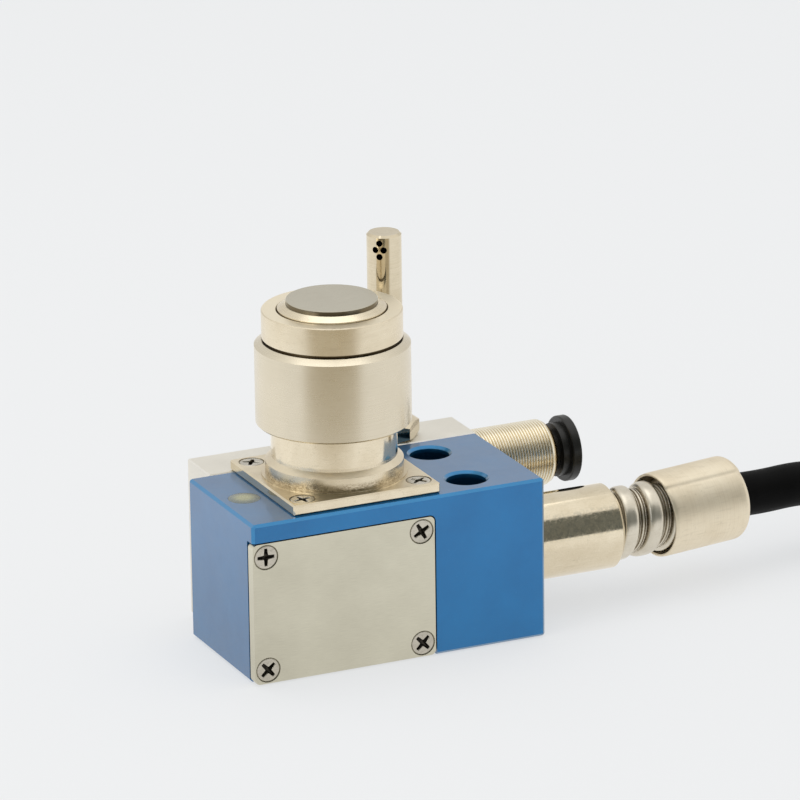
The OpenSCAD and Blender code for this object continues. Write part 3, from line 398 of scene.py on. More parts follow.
# Finishes
warm = dict(dark=(0.70, 0.605, 0.44), light=(0.84, 0.755, 0.585))
worn = platedWear((0.42, 0.36, 0.26), 0.35)
# Painted shade in the groove between the cap and the skirt
grooveShade = seatLine(**capGroove, tint=(0.12, 0.09, 0.05))
mats = dict(
    blue=finish("blue_anodised", (0.002, 0.150, 0.40), (0.006, 0.195, 0.49), metal=0.66, rough=(0.30, 0.40),
                patch=0.06, grain=(9, 9, 9), weight=0.35, relief=0.10, depth=0.010, coat=(1.0, 0.12, 1.43),
                # paler bevels: painted edge highlight as well as thin dye
                edge=(1.0, 0.70, 0.36), extra=both(bevelTintAndHighlight((0.05, 0.32, 0.62), 0.45),
                                                   # painted shade down the bolt holes
                                                   holeShade(**boltHoles, tint=(0.001, 0.04, 0.10)))),
    silver=finish("silver_anodised", (0.74, 0.715, 0.645), (0.83, 0.805, 0.735), metal=0.85,
                  rough=(0.42, 0.52), patch=0.1, grain=(10, 10, 10), weight=0.5, relief=0.16, depth=0.012,
                  # paler bevels: painted edge highlight as well as thin dye
                  extra=bevelTintAndHighlight((0.85, 0.83, 0.78), 0.7)),
    cover=finish("cover_satin", (0.61, 0.585, 0.475), (0.76, 0.735, 0.605), rough=(0.30, 0.40), patch=0.05,
                 grain=(0.35, 6, 11), weight=0.55, relief=0.16, depth=0.012),
    skirt=finish("skirt_satin", (0.665, 0.60, 0.465), (0.775, 0.705, 0.565), rough=(0.24, 0.32), patch=0.07,
                 grain=(7, 12, 1), turned=zAxis, weight=0.6, relief=0.14, depth=0.010, extra=grooveShade),
    nickel=finish("nickel_turned", **warm, rough=(0.24, 0.32), patch=0.09, grain=(4, 8, 1), turned=zAxis,
                  relief=0.08, depth=0.008,
                  # paler level tops: painted light
                  extra=both(worn, lappedAndLitTop(0.08, (0.97, 0.88, 0.69)),
                             # painted shade in the joint round the contact holder
                             seatLine(**holderSeat, tint=(0.16, 0.135, 0.095)), grooveShade)),
    plate=finish("nickel_plate", **warm, rough=(0.09, 0.15), patch=0.12, grain=(5, 5, 5), relief=0.10,
                 depth=0.010, extra=both(worn, stemFinish(**stemRing, tint=(0.24, 0.18, 0.10)))),
    rod=finish("nickel_rod", (0.61, 0.525, 0.375), (0.74, 0.66, 0.50), rough=(0.06, 0.10), patch=0.12,
               grain=(3, 5, 1), turned=nozzleAxis, relief=0.05, depth=0.006,
               # painted shade in the bores of the air jets
               extra=both(worn, rootShade(*nozzleAxis, **jets, tint=(0.006, 0.005, 0.004)))),
    gland=finish("nickel_gland", **warm, rough=(0.035, 0.07), patch=0.15, grain=(5, 5, 5), weight=0.5,
                 relief=0.20, depth=0.012,
                 # dark smears along the front-facing band: painted reflection
                 extra=both(worn, mottle((0, -0.875, 0.485), 1.4, 0.20, (0.42, 0.40, 0.33)))),
    barrel=finish("nickel_barrel", (0.84, 0.77, 0.60), (0.95, 0.89, 0.74), rough=(0.22, 0.30), patch=0.15,
                  grain=(4, 4, 1), turned=fittingAxis, relief=0.06, depth=0.006,
                  # painted shade in the roots of the thread
                  extra=both(worn, rootShade(*fittingAxis, **threadRoot, tint=(0.44, 0.32, 0.15)))),
    sleeve=finish("nickel_sleeve", (0.76, 0.665, 0.50), (0.89, 0.81, 0.65), rough=(0.46, 0.54), patch=0.13,
                  grain=(4, 3, 1), turned=sleeveAxis, relief=0.08, depth=0.010, extra=worn),
    hose=finish("hose_strip", (0.62, 0.57, 0.47), (0.78, 0.73, 0.62), rough=(0.26, 0.36), patch=0.2,
                grain=(2, 5, 5), relief=0.12, depth=0.012, extra=worn),
    # Darker finish for the hose's grooves: painted shade
    furrow=finish("hose_furrow_shade", (0.13, 0.105, 0.07), (0.34, 0.285, 0.205), rough=(0.26, 0.38), patch=0.5,
                  grain=(2, 5, 5), relief=0.12, depth=0.012),
    steel=finish("screw_steel", (0.50, 0.47, 0.40), (0.66, 0.62, 0.54), rough=(0.18, 0.30), patch=0.4,
                 grain=(5, 5, 5), relief=0.15, depth=0.012, extra=platedWear((0.10, 0.09, 0.07), 0.5)),
    carbide=finish("ground_carbide", (0.49, 0.455, 0.36), (0.575, 0.54, 0.435), rough=(0.16, 0.22),
                   patch=0.06, grain=(0.5, 9, 9), weight=0.5, relief=0.08, depth=0.006,
                   # painted shade on the disc's rim
                   extra=sideShade((0.17, 0.145, 0.105))),
    # Darker finish for the screws' deep faces: painted shade
    recess=finish("screw_recess_shade", (0.020, 0.017, 0.013), (0.090, 0.078, 0.060), metal=0.7, rough=(0.38, 0.52),
                  patch=0.8, grain=(6, 6, 6), relief=0.2, depth=0.02),
    brass=finish("turned_brass", (0.62, 0.42, 0.12), (0.78, 0.56, 0.20), rough=(0.2, 0.3), grain=(6, 9, 1),
                 turned=zAxis, relief=0.1, depth=0.01),
    bronze=finish("sintered_bronze", (0.36, 0.21, 0.08), (0.52, 0.32, 0.13), rough=(0.38, 0.5),
                  grain=(9, 9, 9), weight=0.7, relief=0.3, depth=0.03),
    rubber=finish("black_rubber", (0.006, 0.006, 0.006), (0.014, 0.014, 0.014), metal=0.0, rough=(0.55, 0.7),
                  grain=(7, 7, 7), relief=0.25, depth=0.03, spec=0.35),
    plastic=finish("black_plastic", (0.005, 0.005, 0.004), (0.013, 0.013, 0.011), metal=0.0,
                   rough=(0.28, 0.40), grain=(8, 8, 8), relief=0.2, depth=0.02, spec=0.4),
    board=finish("circuit_board", (0.01, 0.09, 0.03), (0.03, 0.16, 0.07), metal=0.0, rough=(0.3, 0.45),
                 patch=0.3, grain=(4, 4, 4), relief=0.1, depth=0.02, coat=(0.5, 0.15, 1.5)),
    lens=finish("diffusing_lens", (0.32, 0.335, 0.20), (0.39, 0.405, 0.245), metal=0.0, rough=(0.22, 0.32),
                patch=0.25, grain=(6, 6, 6), relief=0.06, depth=0.01, spec=0.5,
                # painted glow in the middle of the lens
                extra=lensGlow(lensMid, lensR, (0.37, 0.365, 0.225), (0.15, 0.18, 0.175))),
    jacket=finish("cable_jacket", (0.0010, 0.0010, 0.0010), (0.003, 0.003, 0.003), metal=0.0,
                  rough=(0.50, 0.62), grain=(3, 8, 8), relief=0.12, depth=0.02, spec=0.06),
    copper=finish("bare_copper", (0.58, 0.22, 0.10), (0.80, 0.36, 0.18), rough=(0.22, 0.34), grain=(8, 8, 8),
                  relief=0.3, depth=0.05),
    tie=finish("woven_tie", (0.012, 0.012, 0.013), (0.03, 0.03, 0.032), metal=0.0, rough=(0.7, 0.85),
               grain=(5, 5, 5), weight=0.7, relief=0.5, depth=0.1, sheen=(0.3, 0.5)),
)

# Finish of each node, and steel for the rest
wear = dict(body="blue", rear_block="silver", front_cover="cover", skirt="skirt", head_cap="nickel",
            stem="plate", contact_holder="nickel", contact_disc="carbide", air_nozzle="rod", lock_nut="plate",
            gland_body="gland", indicator_lens="lens", led="lens", release_ring="plastic",
            terminal_board="board", terminal_block="plastic", contact_carrier="plastic",
            insulating_bush="plastic", upper_bush="bronze", lower_bush="bronze", contact_pins="brass",
            contact_collar="brass", cable_inner="jacket", cable_run="jacket", cable_coil="jacket",
            cable_end_sleeve="rubber", lead_wires="copper", fitting_body="barrel", hose="hose",
            end_sleeve="sleeve", cover_gasket="rubber", flange_seal="rubber", wiper_seal="rubber",
            tube_seal="rubber", gland_seal="rubber")
for name, obj in nodes.items():
    obj.data.materials.clear()
    obj.data.materials.append(mats[wear.get(name, "steel")])
print("materials made")


# A piece of the setter from points in millimetres and faces
def addPiece(name, verts, faces, mat, replaced=()):
    mesh = bpy.data.meshes.new(name)
    mesh.from_pydata((np.asarray(verts, float) * mm).tolist(), [], faces)
    mesh.polygons.foreach_set("use_smooth", np.full(len(mesh.polygons), True))
    mesh.update()
    mesh.materials.append(mat)
    obj = bpy.data.objects.new(name, mesh)
    bpy.context.scene.collection.objects.link(obj)
    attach(obj, "setter")
    if replaced:
        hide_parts(*replaced)
    return obj


# Quads between neighbouring rings of points, with both ends capped, left open, or joined into a loop
def ringFaces(rings, around, start=0, ends="capped"):
    rows = rings if ends == "loop" else rings - 1
    i, j = np.meshgrid(np.arange(rows), np.arange(around), indexing="ij")
    k, n = (j + 1) % around, (i + 1) % rings
    quads = np.stack([i * around + j, i * around + k, n * around + k, n * around + j], -1).reshape(-1, 4)
    faces = (quads + start).tolist()
    if ends == "capped":
        ring = np.arange(around) + start
        faces.append(ring[::-1].tolist())
        faces.append((ring + (rings - 1) * around).tolist())
    return faces


# Rings about an axis: origin + travel along it + radius times a unit vector that turns round the axis
def lathe(travel, radius, origin, along, side, up):
    travel, radius = np.asarray(travel, float), np.asarray(radius, float)
    around = radius.shape[1]
    a = np.linspace(0, 2 * np.pi, around, endpoint=False)
    spin = np.cos(a)[:, None] * np.asarray(side) + np.sin(a)[:, None] * np.asarray(up)
    if travel.ndim == 1:
        travel = np.repeat(travel[:, None], around, 1)
    middle = np.asarray(origin) + travel[..., None] * np.asarray(along)
    return (middle + radius[..., None] * spin).reshape(-1, 3)


# Cubic through the points, whose slope at each is half the step from the one before to the one after
def smoothRoute(points, steps):
    p = np.asarray(points, float)
    ends = np.vstack([2 * p[0] - p[1], p, 2 * p[-1] - p[-2]])
    t = np.linspace(0, 1, steps, endpoint=False)[:, None]
    out = []
    for a, b, c, d in zip(ends[:-3], ends[1:-2], ends[2:-1], ends[3:]):
        square, cube = 2 * a - 5 * b + 4 * c - d, 3 * b - a - 3 * c + d
        out.append(0.5 * (2 * b + (c - a) * t + square * t ** 2 + cube * t ** 3))
    return np.vstack(out + [p[-1:]])


# Tube along points: circles square to the path, kept from twisting by carrying their frame along
def tube(points, radius, around):
    p = np.asarray(points, float)
    way = np.gradient(p, axis=0)
    way /= np.linalg.norm(way, axis=1)[:, None]
    side = np.cross(way[0], (0, 0, 1))
    side /= np.linalg.norm(side)
    a = np.linspace(0, 2 * np.pi, around, endpoint=False)
    radius = np.broadcast_to(np.asarray(radius, float), (len(p),))
    rows = []
    for spot, w, r in zip(p, way, radius):
        side = side - w * np.dot(side, w)
        side /= np.linalg.norm(side)
        rows.append(spot + r * (np.cos(a)[:, None] * side + np.sin(a)[:, None] * np.cross(side, w)))
    return np.vstack(rows)


# Smooth step from 0 to 1: three times the square less twice the cube
def ease(t):
    t = np.clip(t, 0, 1)
    return t * t * (3 - 2 * t)


# Cable: out of the end sleeve, by the route in the part's source down to the floor, and round the coil; each
# key of the coil has its angle, radius and height
cable = dict(
    diameter=10.0, length=2000.0, entry=25.0, around=20, routeSteps=4, turnStep=2.0, lastGap=0.5,
    route=[(97.9, 1.84, 16.97), (101.67, 2.33, 16.85), (105.33, 2.81, 16.65), (109.0, 3.29, 16.55),
           (112.77, 3.78, 16.55), (116.53, 4.32, 16.37), (120.19, 4.89, 15.87), (123.83, 5.52, 15.12),
           (127.57, 6.23, 14.14), (131.29, 6.99, 13.0), (134.9, 7.79, 11.79), (138.51, 8.64, 10.54),
           (142.19, 9.56, 9.26), (145.86, 10.55, 8.06), (149.42, 11.56, 7.0), (152.96, 12.63, 6.12),
           (156.58, 13.78, 5.44), (160.19, 14.98, 5.06), (163.68, 16.21, 5.0), (167.15, 17.49, 5.0),
           (170.7, 18.86, 5.0), (174.22, 20.28, 5.0), (177.63, 21.71, 5.0), (181.02, 23.2, 5.0),
           (184.48, 24.78, 5.0)],
    turns=[(0, 50.5, 5), (310, 50.5, 5), (350, 40.5, 5), (625, 40.5, 5), (665, 40.5, 15), (940, 40.5, 15),
           (980, 50.5, 15), (1255, 50.5, 15), (1295, 50.5, 25), (1570, 50.5, 25), (1610, 40.5, 25),
           (1885, 40.5, 25), (1925, 40.5, 35), (2200, 40.5, 35), (2240, 50.5, 35), (2600, 50.5, 35)])

# The coil's middle lies square to the end of the route, one radius away
turnIn = math.radians(cable["entry"])
coilR = cable["turns"][0][1]
coilMid = np.array([cable["route"][-1][0] + coilR * math.sin(turnIn),
                    cable["route"][-1][1] - coilR * math.cos(turnIn), 0.0])


# Points of the coil: radius and height eased from one key angle to the next
def coilSpots(phi):
    keys = np.asarray(cable["turns"], float)
    index = np.clip(np.searchsorted(keys[:, 0], phi, side="right") - 1, 0, len(keys) - 2)
    here, there = keys[index], keys[index + 1]
    t = ease((phi - here[:, 0]) / (there[:, 0] - here[:, 0]))
    r, z = (here[:, 1:] + (there[:, 1:] - here[:, 1:]) * t[:, None]).T
    a = np.radians(90 + cable["entry"] - phi)
    return coilMid + np.stack([r * np.cos(a), r * np.sin(a), z], 1)


# Points on an arc about the coil's axis, between two angles in degrees
def arcSpots(first, last, radius, z, count):
    a = np.radians(np.linspace(first, last, count))
    return coilMid + np.stack([radius * np.cos(a), radius * np.sin(a), np.broadcast_to(z, a.shape)], 1)


run = smoothRoute(cable["route"], cable["routeSteps"])
lastTurn = cable["turns"][-1][0] - cable["turnStep"]
path = np.vstack([run, coilSpots(np.arange(cable["turnStep"], lastTurn, cable["turnStep"]))])
travelled = np.concatenate([[0], np.cumsum(np.linalg.norm(np.diff(path, axis=0), axis=1))])
kept = int((travelled < cable["length"] - cable["lastGap"]).sum())
share = (cable["length"] - travelled[kept - 1]) / (travelled[kept] - travelled[kept - 1])
lastSpot = path[kept - 1] + (path[kept] - path[kept - 1]) * share
path = np.vstack([path[:kept], lastSpot])
cableObj = addPiece("cable", tube(path, cable["diameter"] / 2, cable["around"]),
                    ringFaces(len(path), cable["around"]), mats["jacket"],
                    ("cable_run", "cable_coil"))
print("cable made")

# Shrink sleeve on the cable's end: lifted off the turn below, rippled, and gathered round the leads
shrink = dict(first=239.0, last=213.0, radius=(50.5, 50.9), z=(35.0, 35.35), lift=0.3, wall=5.3, ripple=0.05,
              ripples=40, gather=1.5, gatherFrom=0.62, rings=60, around=24)
u = np.linspace(0, 1, shrink["rings"])
lift = ease(u / shrink["lift"])
shrinkPath = arcSpots(shrink["first"], shrink["last"], np.interp(lift, (0, 1), shrink["radius"]),
                      np.interp(lift, (0, 1), shrink["z"]), shrink["rings"])
narrow = np.clip((u - shrink["gatherFrom"]) / (1 - shrink["gatherFrom"]), 0, 1) ** 2
shrinkR = shrink["wall"] + shrink["ripple"] * np.sin(u * shrink["ripples"]) - shrink["gather"] * narrow
shrinkObj = addPiece("end_shrink_sleeve", tube(shrinkPath, shrinkR, shrink["around"]),
                     ringFaces(shrink["rings"], shrink["around"]), mats["rubber"],
                     ("cable_end_sleeve",))

# Flying leads: each spreads from the sleeve to its own radius, drops to the turn below, and has a bare tip
leads = dict(first=214.0, bare=191.5, last=187.0, radius=(47.2, 49.4, 51.6, 53.8), z=30.9, rise=3.4,
             spread=0.3, bunch=0.45, wire=0.85, strand=0.5, sunk=0.4, rings=50, around=12, tipRings=12,
             tipAround=10, pale=1.25,
             colours=dict(brown=(0.10, 0.035, 0.012), white=(0.62, 0.61, 0.58), blue=(0.02, 0.10, 0.38),
                          black=(0.01, 0.01, 0.01)))
leadObjs, tipVerts, tipFaces = [], [], []
spreadOut = ease(np.linspace(0, 1, leads["rings"]) / leads["spread"])
for (tint, colour), radius in zip(leads["colours"].items(), leads["radius"]):
    paler = tuple(c * leads["pale"] for c in colour)
    mat = finish("lead_" + tint, colour, paler, metal=0.0, rough=(0.35, 0.5), grain=(6, 6, 6), relief=0.12,
                 depth=0.02, spec=0.4)
    inner = shrink["radius"][1] + (radius - shrink["radius"][1]) * leads["bunch"]
    spots = arcSpots(leads["first"], leads["bare"], inner + (radius - inner) * spreadOut,
                     leads["z"] + leads["rise"] * (1 - spreadOut), leads["rings"])
    leadObjs.append(addPiece("lead_" + tint, tube(spots, leads["wire"], leads["around"]),
                             ringFaces(leads["rings"], leads["around"]), mat))
    bare = arcSpots(leads["bare"] + leads["sunk"], leads["last"], radius, leads["z"], leads["tipRings"])
    start = len(tipVerts) * leads["tipRings"] * leads["tipAround"]
    tipFaces += ringFaces(leads["tipRings"], leads["tipAround"], start=start)
    tipVerts.append(tube(bare, leads["strand"], leads["tipAround"]))
leadObjs.append(addPiece("lead_tips", np.vstack(tipVerts), tipFaces, mats["copper"]))
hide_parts("lead_wires")

# Ties: a thin section carried round a rectangle with round corners, which stands across the coil's turns
ties = dict(angles=(245.0, 318.0), width=7.0, thick=0.5, low=0.02, high=40.45, inner=35.0, outer=55.9,
            corner=5.2, steps=9,
            section=[(-0.5, 0), (-0.44, 0.6), (-0.3, 1.0), (0.3, 1.0), (0.44, 0.6), (0.5, 0), (0.3, 0),
                     (-0.3, 0)])
inX, outX = ties["inner"] + ties["corner"], ties["outer"] - ties["corner"]
lowZ, highZ = ties["low"] + ties["corner"], ties["high"] - ties["corner"]
a = (np.arange(4)[:, None] * np.pi / 2 + np.linspace(0, np.pi / 2, ties["steps"])).ravel()
push = np.stack([np.cos(a), np.sin(a)], 1)
corners = np.repeat([(outX, highZ), (inX, highZ), (inX, lowZ), (outX, lowZ)], ties["steps"], axis=0)
across, thick = np.transpose(ties["section"])
flat = (corners + ties["corner"] * push)[:, None] - push[:, None] * ties["thick"] * (1 - thick)[None, :, None]
flat[..., 1] = np.maximum(flat[..., 1], ties["low"])
tieFaces = ringFaces(len(flat), len(across), ends="loop")
tieObjs = []
for number, angle in enumerate(np.radians(ties["angles"])):
    out = np.array([math.cos(angle), math.sin(angle), 0])
    way = np.array([-math.sin(angle), math.cos(angle), 0])
    verts = coilMid + flat[..., :1] * out + flat[..., 1:] * np.array([0, 0, 1])
    verts = verts + (across * ties["width"])[None, :, None] * way
    tieObjs.append(addPiece(f"coil_tie_{number}", verts.reshape(-1, 3), tieFaces, mats["tie"]))
print("cable ends and ties made")

# The coil lies out of view, so its reflections are kept out of the polished faces
for obj in (cableObj, shrinkObj, *leadObjs, *tieObjs):
    obj.visible_glossy = False

# Hose: one strip wound in a helix with rounded crowns and narrow grooves, bent towards the back; each rib in
# a groove has its height, place and width
hose = dict(first=-7.95, crimp=16.8, last=20.78, pitch=6.0, crown=8.2, root=6.75, phase=0.172, crownHalf=0.32,
            ribs=((0.42, 0.015, 0.028), (0.30, 0.115, 0.024)), furrow=0.20, bore=5.6, ferrule=8.95, steps=400,
            around=160)


# Points on the hose's axis and directions to its side: an arc as far as the bend goes, then straight on
def bendFrame(s):
    turned = np.clip(s / (hoseBend["radius"] * bend), 0, 1) * bend
    rest = s - hoseBend["radius"] * turned
    x = hoseBend["radius"] * np.sin(turned) + rest * np.cos(turned)
    y = hoseBend["radius"] * (1 - np.cos(turned)) + rest * np.sin(turned)
    zero = np.zeros_like(x)
    spots = hoseBend["mouth"] + rolled(np.stack([x, y, zero], -1))
    return spots, rolled(np.stack([np.sin(turned), -np.cos(turned), zero], -1))


# Radius of the hose: the larger of a squarish crown over each turn of the helix and the bell-shaped ribs in
# its groove
def hoseRadius(s, a):
    p = np.mod(s / hose["pitch"] - a / (2 * np.pi) + hose["phase"], 1.0)
    crown = np.sqrt(np.clip(1 - ((p - 0.5) / hose["crownHalf"]) ** 4, 0, 1))
    gap = np.minimum(p, 1 - p)
    ribs = sum(h * np.exp(-((gap - place) / width) ** 2) for h, place, width in hose["ribs"])
    return hose["root"] + np.maximum((hose["crown"] - hose["root"]) * crown, ribs)


s = np.linspace(hose["first"], hose["crimp"], hose["steps"])
a = np.linspace(0, 2 * np.pi, hose["around"], endpoint=False)
ends = np.repeat(np.array([hose["bore"], hose["ferrule"], hose["ferrule"], hose["bore"]])[:, None], len(a), 1)
grid = np.vstack([ends[:1], hoseRadius(s[:, None], a[None, :]), ends[1:]])
s = np.concatenate([[hose["first"]], s, [hose["crimp"], hose["last"], hose["last"]]])
spot, side = bendFrame(s)
spin = np.cos(a)[None, :, None] * side[:, None, :] + np.sin(a)[None, :, None] * rolled((0, 0, 1.0))
hoseObj = addPiece("wound_hose", (spot[:, None, :] + grid[..., None] * spin).reshape(-1, 3),
                   ringFaces(len(s), hose["around"], ends="open"), mats["hose"], ("hose",))
# Painted shade: faces low in the grooves take the darker furrow finish
hoseObj.data.materials.append(mats["furrow"])
inFurrow = np.minimum(grid[:-1], grid[1:]) < hose["root"] + hose["furrow"]
hoseObj.data.polygons.foreach_set("material_index", inFurrow.astype(np.int32).ravel())

# End sleeve: sheet rolled round the hose, whose radius shrinks round to the lapped seam, with a rounded far
# end; each row of the lip has its travel and inset
roll = dict(back=-1.39, front=19.31, radius=9.7, wall=0.7, rounding=1.6, hole=5.3, lap=0.28, lapEnd=0.985,
            lapStep=0.006, groove=0.16, seam=66.0, lip=[(0.25, 0.7), (0.07, 0.6), (0.0, 0.35)], lipOut=0.12,
            innerGap=0.35, mouthGap=0.02, rows=24, roundSteps=8, around=160)
shoulder = roll["front"] - roll["rounding"]
q = np.linspace(0, np.pi / 2, roll["roundSteps"])[1:]
lipTravel, lipInset = np.transpose(roll["lip"])
backLip = roll["back"] + lipTravel
frontIn = roll["front"] - roll["wall"]
travel = np.concatenate([backLip, np.linspace(roll["back"] + roll["lipOut"], shoulder, roll["rows"]),
                         shoulder + roll["rounding"] * np.sin(q),
                         [roll["front"], frontIn, frontIn, backLip[0]]])
inset = np.concatenate([lipInset, [roll["lipOut"]], np.zeros(roll["rows"] - 1),
                        roll["rounding"] * (1 - np.cos(q))])
t = np.linspace(0, 1, roll["around"], endpoint=False)
seamDip = roll["lap"] * np.clip(t / roll["lapEnd"], 0, 1) * np.clip((1 - t) / roll["lapStep"], 0, 1)
groove = roll["groove"] * np.exp(-(np.minimum(t, 1 - t) / roll["lapStep"]) ** 2)
outer = (roll["radius"] - seamDip - groove)[None, :] - inset[:, None]
innerR = roll["radius"] - roll["wall"]
inner = np.array([roll["hole"], roll["hole"], innerR - roll["innerGap"], innerR - roll["mouthGap"]])
rows = np.vstack([outer, np.repeat(inner[:, None], roll["around"], 1)])
seam = math.radians(roll["seam"])
sideV, upV = rolled((math.sin(bend), -math.cos(bend), 0)), rolled((0, 0, 1.0))
startV = math.cos(seam) * sideV + math.sin(seam) * upV
turnV = -math.sin(seam) * sideV + math.cos(seam) * upV
addPiece("rolled_sleeve", lathe(travel, rows, *sleeveAxis, startV, turnV),
         ringFaces(len(rows), roll["around"], ends="open"), mats["sleeve"], ("end_sleeve",))
print("hose and sleeve made")

# Return spring: a helix with closed end turns, which in the setter is pressed together as the head goes down;
# here it keeps one shape
spring = dict(low=46.82, high=65.98, wire=0.6, radius=9.4, turns=7, dead=1.26, foot=46.2, top=66.6,
              stroke=5.0, steps=40, around=14)
t = np.linspace(0, spring["turns"], spring["turns"] * spring["steps"] + 1)
closed = [spring["low"] + spring["dead"], spring["high"] - spring["dead"]]
z = np.interp(t, [0, 1, spring["turns"] - 1, spring["turns"]], [spring["low"], *closed, spring["high"]])
spots = np.stack([spring["radius"] * np.cos(2 * np.pi * t), spring["radius"] * np.sin(2 * np.pi * t), z], 1)
springObj = addPiece("coil_spring", tube(spots, spring["wire"], spring["around"]),
                     ringFaces(len(t), spring["around"]), mats["steel"], ("return_spring",))
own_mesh(springObj)

# Fitting barrel: a helix of squared cosine grooves that fade out at both ends, under the profile of its ends;
# each corner of the end and the bore has its travel and radius
barrel = dict(origin=(41.7, 23.0, 27.0), length=20.7, crest=7.5, depth=0.34, pitch=0.68, first=0.6, last=19.4,
              fade=0.5, around=120, steps=420,
              end=[(0, 6.9), (0.6, 7.5), (19.0, 7.5), (19.85, 7.075), (20.7, 6.225)],
              bore=[(20.7, 4.65), (14.5, 4.65), (14.5, 5.15), (10.0, 5.15), (10.0, 3.05), (4.0, 3.05),
                    (4.0, 2.0), (-8.0, 2.0), (-8.0, 4.8), (0.0, 4.8), (0.0, 6.9)])
x = np.linspace(0.0, barrel["length"], barrel["steps"])
a = np.linspace(0, 2 * np.pi, barrel["around"], endpoint=False)
phase = np.mod(x[:, None] / barrel["pitch"] - a[None, :] / (2 * np.pi), 1.0)
tooth = (0.5 - 0.5 * np.cos(2 * np.pi * phase)) ** 2
fadeIn = np.clip((x - barrel["first"]) / barrel["fade"], 0, 1)
fadeOut = np.clip((barrel["last"] - x) / barrel["fade"], 0, 1)
outer = barrel["crest"] - barrel["depth"] * tooth * (fadeIn * fadeOut)[:, None]
outer = np.minimum(outer, np.interp(x, *np.transpose(barrel["end"]))[:, None])
boreTravel, boreR = np.transpose(barrel["bore"])
rows = np.vstack([outer, np.repeat(boreR[:, None], barrel["around"], 1)])
verts = lathe(np.concatenate([x, boreTravel]), rows, barrel["origin"], (1, 0, 0), (0, -1, 0), (0, 0, 1))
addPiece("threaded_barrel", verts, ringFaces(len(rows), barrel["around"], ends="open"), mats["barrel"],
         ("fitting_body",))

# Countersunk screws with a cross recess, whose walls slope in; the lip's rows have an offset from the head's
# radius and a travel
screw = dict(head=2.62, rim=0.14, shank=1.5, length=6.0, seat=2.82, seatZ=-0.10, shankZ=-1.35, axis=0.01,
             lip=[(-0.04, -0.09), (0.0, -0.17), (-0.05, -0.32)], crown=0.05, wing=1.98, half=0.43, flare=1.25,
             taper=0.22, tip=0.9, web=1.75, deep=1.5, shallow=0.38, slope=0.24, wall=0.8, dark=-0.23,
             around=144, steps=44)


# How far a point lies inside one arm of the cross: its flared half width less v, or its length less u
def armDepth(u, v):
    flank = screw["half"] * (screw["flare"] - screw["taper"] * np.abs(u)) - np.abs(v)
    return np.minimum(flank, (screw["wing"] - np.abs(u)) * screw["tip"])


# One screw: a low crown, less the recess, then the lip, the cone and the shank
def screwSurface(origin, normal, across, angle):
    a = np.linspace(0, 2 * np.pi, screw["around"], endpoint=False)
    r = np.linspace(0.0, screw["head"] - screw["rim"], screw["steps"])
    px, py = r[:, None] * np.cos(a - angle), r[:, None] * np.sin(a - angle)
    web = screw["half"] * screw["web"] - np.hypot(px, py)
    inside = np.maximum(np.maximum(armDepth(px, py), armDepth(py, px)), web)
    floor = screw["deep"] * (1 - screw["shallow"] * np.clip(r / screw["wing"], 0, 1))[:, None]
    drop = floor * np.clip(inside / screw["slope"], 0, 1) ** screw["wall"]
    top = -screw["crown"] * ((r / screw["head"]) ** 2)[:, None] - drop
    edge = [(screw["head"] + out, z) for out, z in screw["lip"]]
    edge += [(screw["seat"], screw["seatZ"]), (screw["shank"], screw["shankZ"]),
             (screw["shank"], -screw["length"]), (screw["axis"], -screw["length"])]
    edgeR, edgeZ = np.repeat(np.transpose(edge)[..., None], screw["around"], -1)
    radius = np.vstack([np.repeat(r[:, None], screw["around"], 1), edgeR])
    verts = lathe(np.vstack([top, edgeZ]), radius, origin, normal, across, np.cross(normal, across))
    return verts, np.array(ringFaces(len(radius), screw["around"], ends="open"))


# A set of like screws as one piece, with a darker finish where the faces lie deep: painted shade in the
# recess and gap
def screwSet(name, spots, normal, across, replaced):
    verts, faces, lows = [], [], []
    for spot, angle in spots:
        v, f = screwSurface(spot, normal, across, math.radians(angle))
        lows.append(((v - np.asarray(spot)) @ np.asarray(normal))[f].mean(1))
        faces.append(f + len(verts) * len(v))
        verts.append(v)
    obj = addPiece(name, np.vstack(verts), np.vstack(faces).tolist(), mats["steel"], (replaced,))
    obj.data.materials.append(mats["recess"])
    isDark = np.concatenate(lows) < screw["dark"]
    obj.data.polygons.foreach_set("material_index", isDark.astype(np.int32))


# Places of the screws' heads, each with the angle of its recess
coverSpots = [((-24.8, -19, 3.3), 42), ((12.0, -19, 3.3), 45), ((-24.8, -19, 29.1), 0),
              ((12.0, -19, 29.1), 30)]
flangeSpots = [((-13.8, -13.8, 39.05), 10), ((13.8, -13.8, 39.05), 35), ((-13.8, 13.8, 39.05), 55),
               ((13.8, 13.8, 39.05), 20)]
screwSet("cover_screw_set", coverSpots, (0, -1, 0), (1, 0, 0), "cover_screws")
screwSet("flange_screw_set", flangeSpots, (0, 0, 1), (1, 0, 0), "flange_screws")
print("barrel and screws made")

# Floor: a plain pale sheet that the camera sees evenly, with a darker table edge in front for reflections
pale = (0.847, 0.863, 0.879)
floor = dict(half=15.0, z=-0.0002, shade=0.30, albedo=0.79, front=(-0.415, -0.910), edgeFrom=(0.11, 0.20),
             edgeSpread=(48.0, 32.0), edge=(0.50, 0.44, 0.33), close=(0.80, 0.79, 0.77),
             open=(0.98, 0.98, 0.98), closeTo=(0.03, 0.13), left=0.05, leftX=(-0.03, -0.08),
             leftY=(0.01, 0.05))
half = floor["half"]
mesh = bpy.data.meshes.new("floor")
square = [(x, y, floor["z"]) for x, y in ((-half, -half), (half, -half), (half, half), (-half, half))]
mesh.from_pydata(square, [], [(0, 1, 2, 3)])
floorObj = bpy.data.objects.new("floor", mesh)
bpy.context.scene.collection.objects.link(floorObj)
floorMat = bpy.data.materials.new("floor")
floorMat.use_nodes = True
net = Net(floorMat.node_tree)
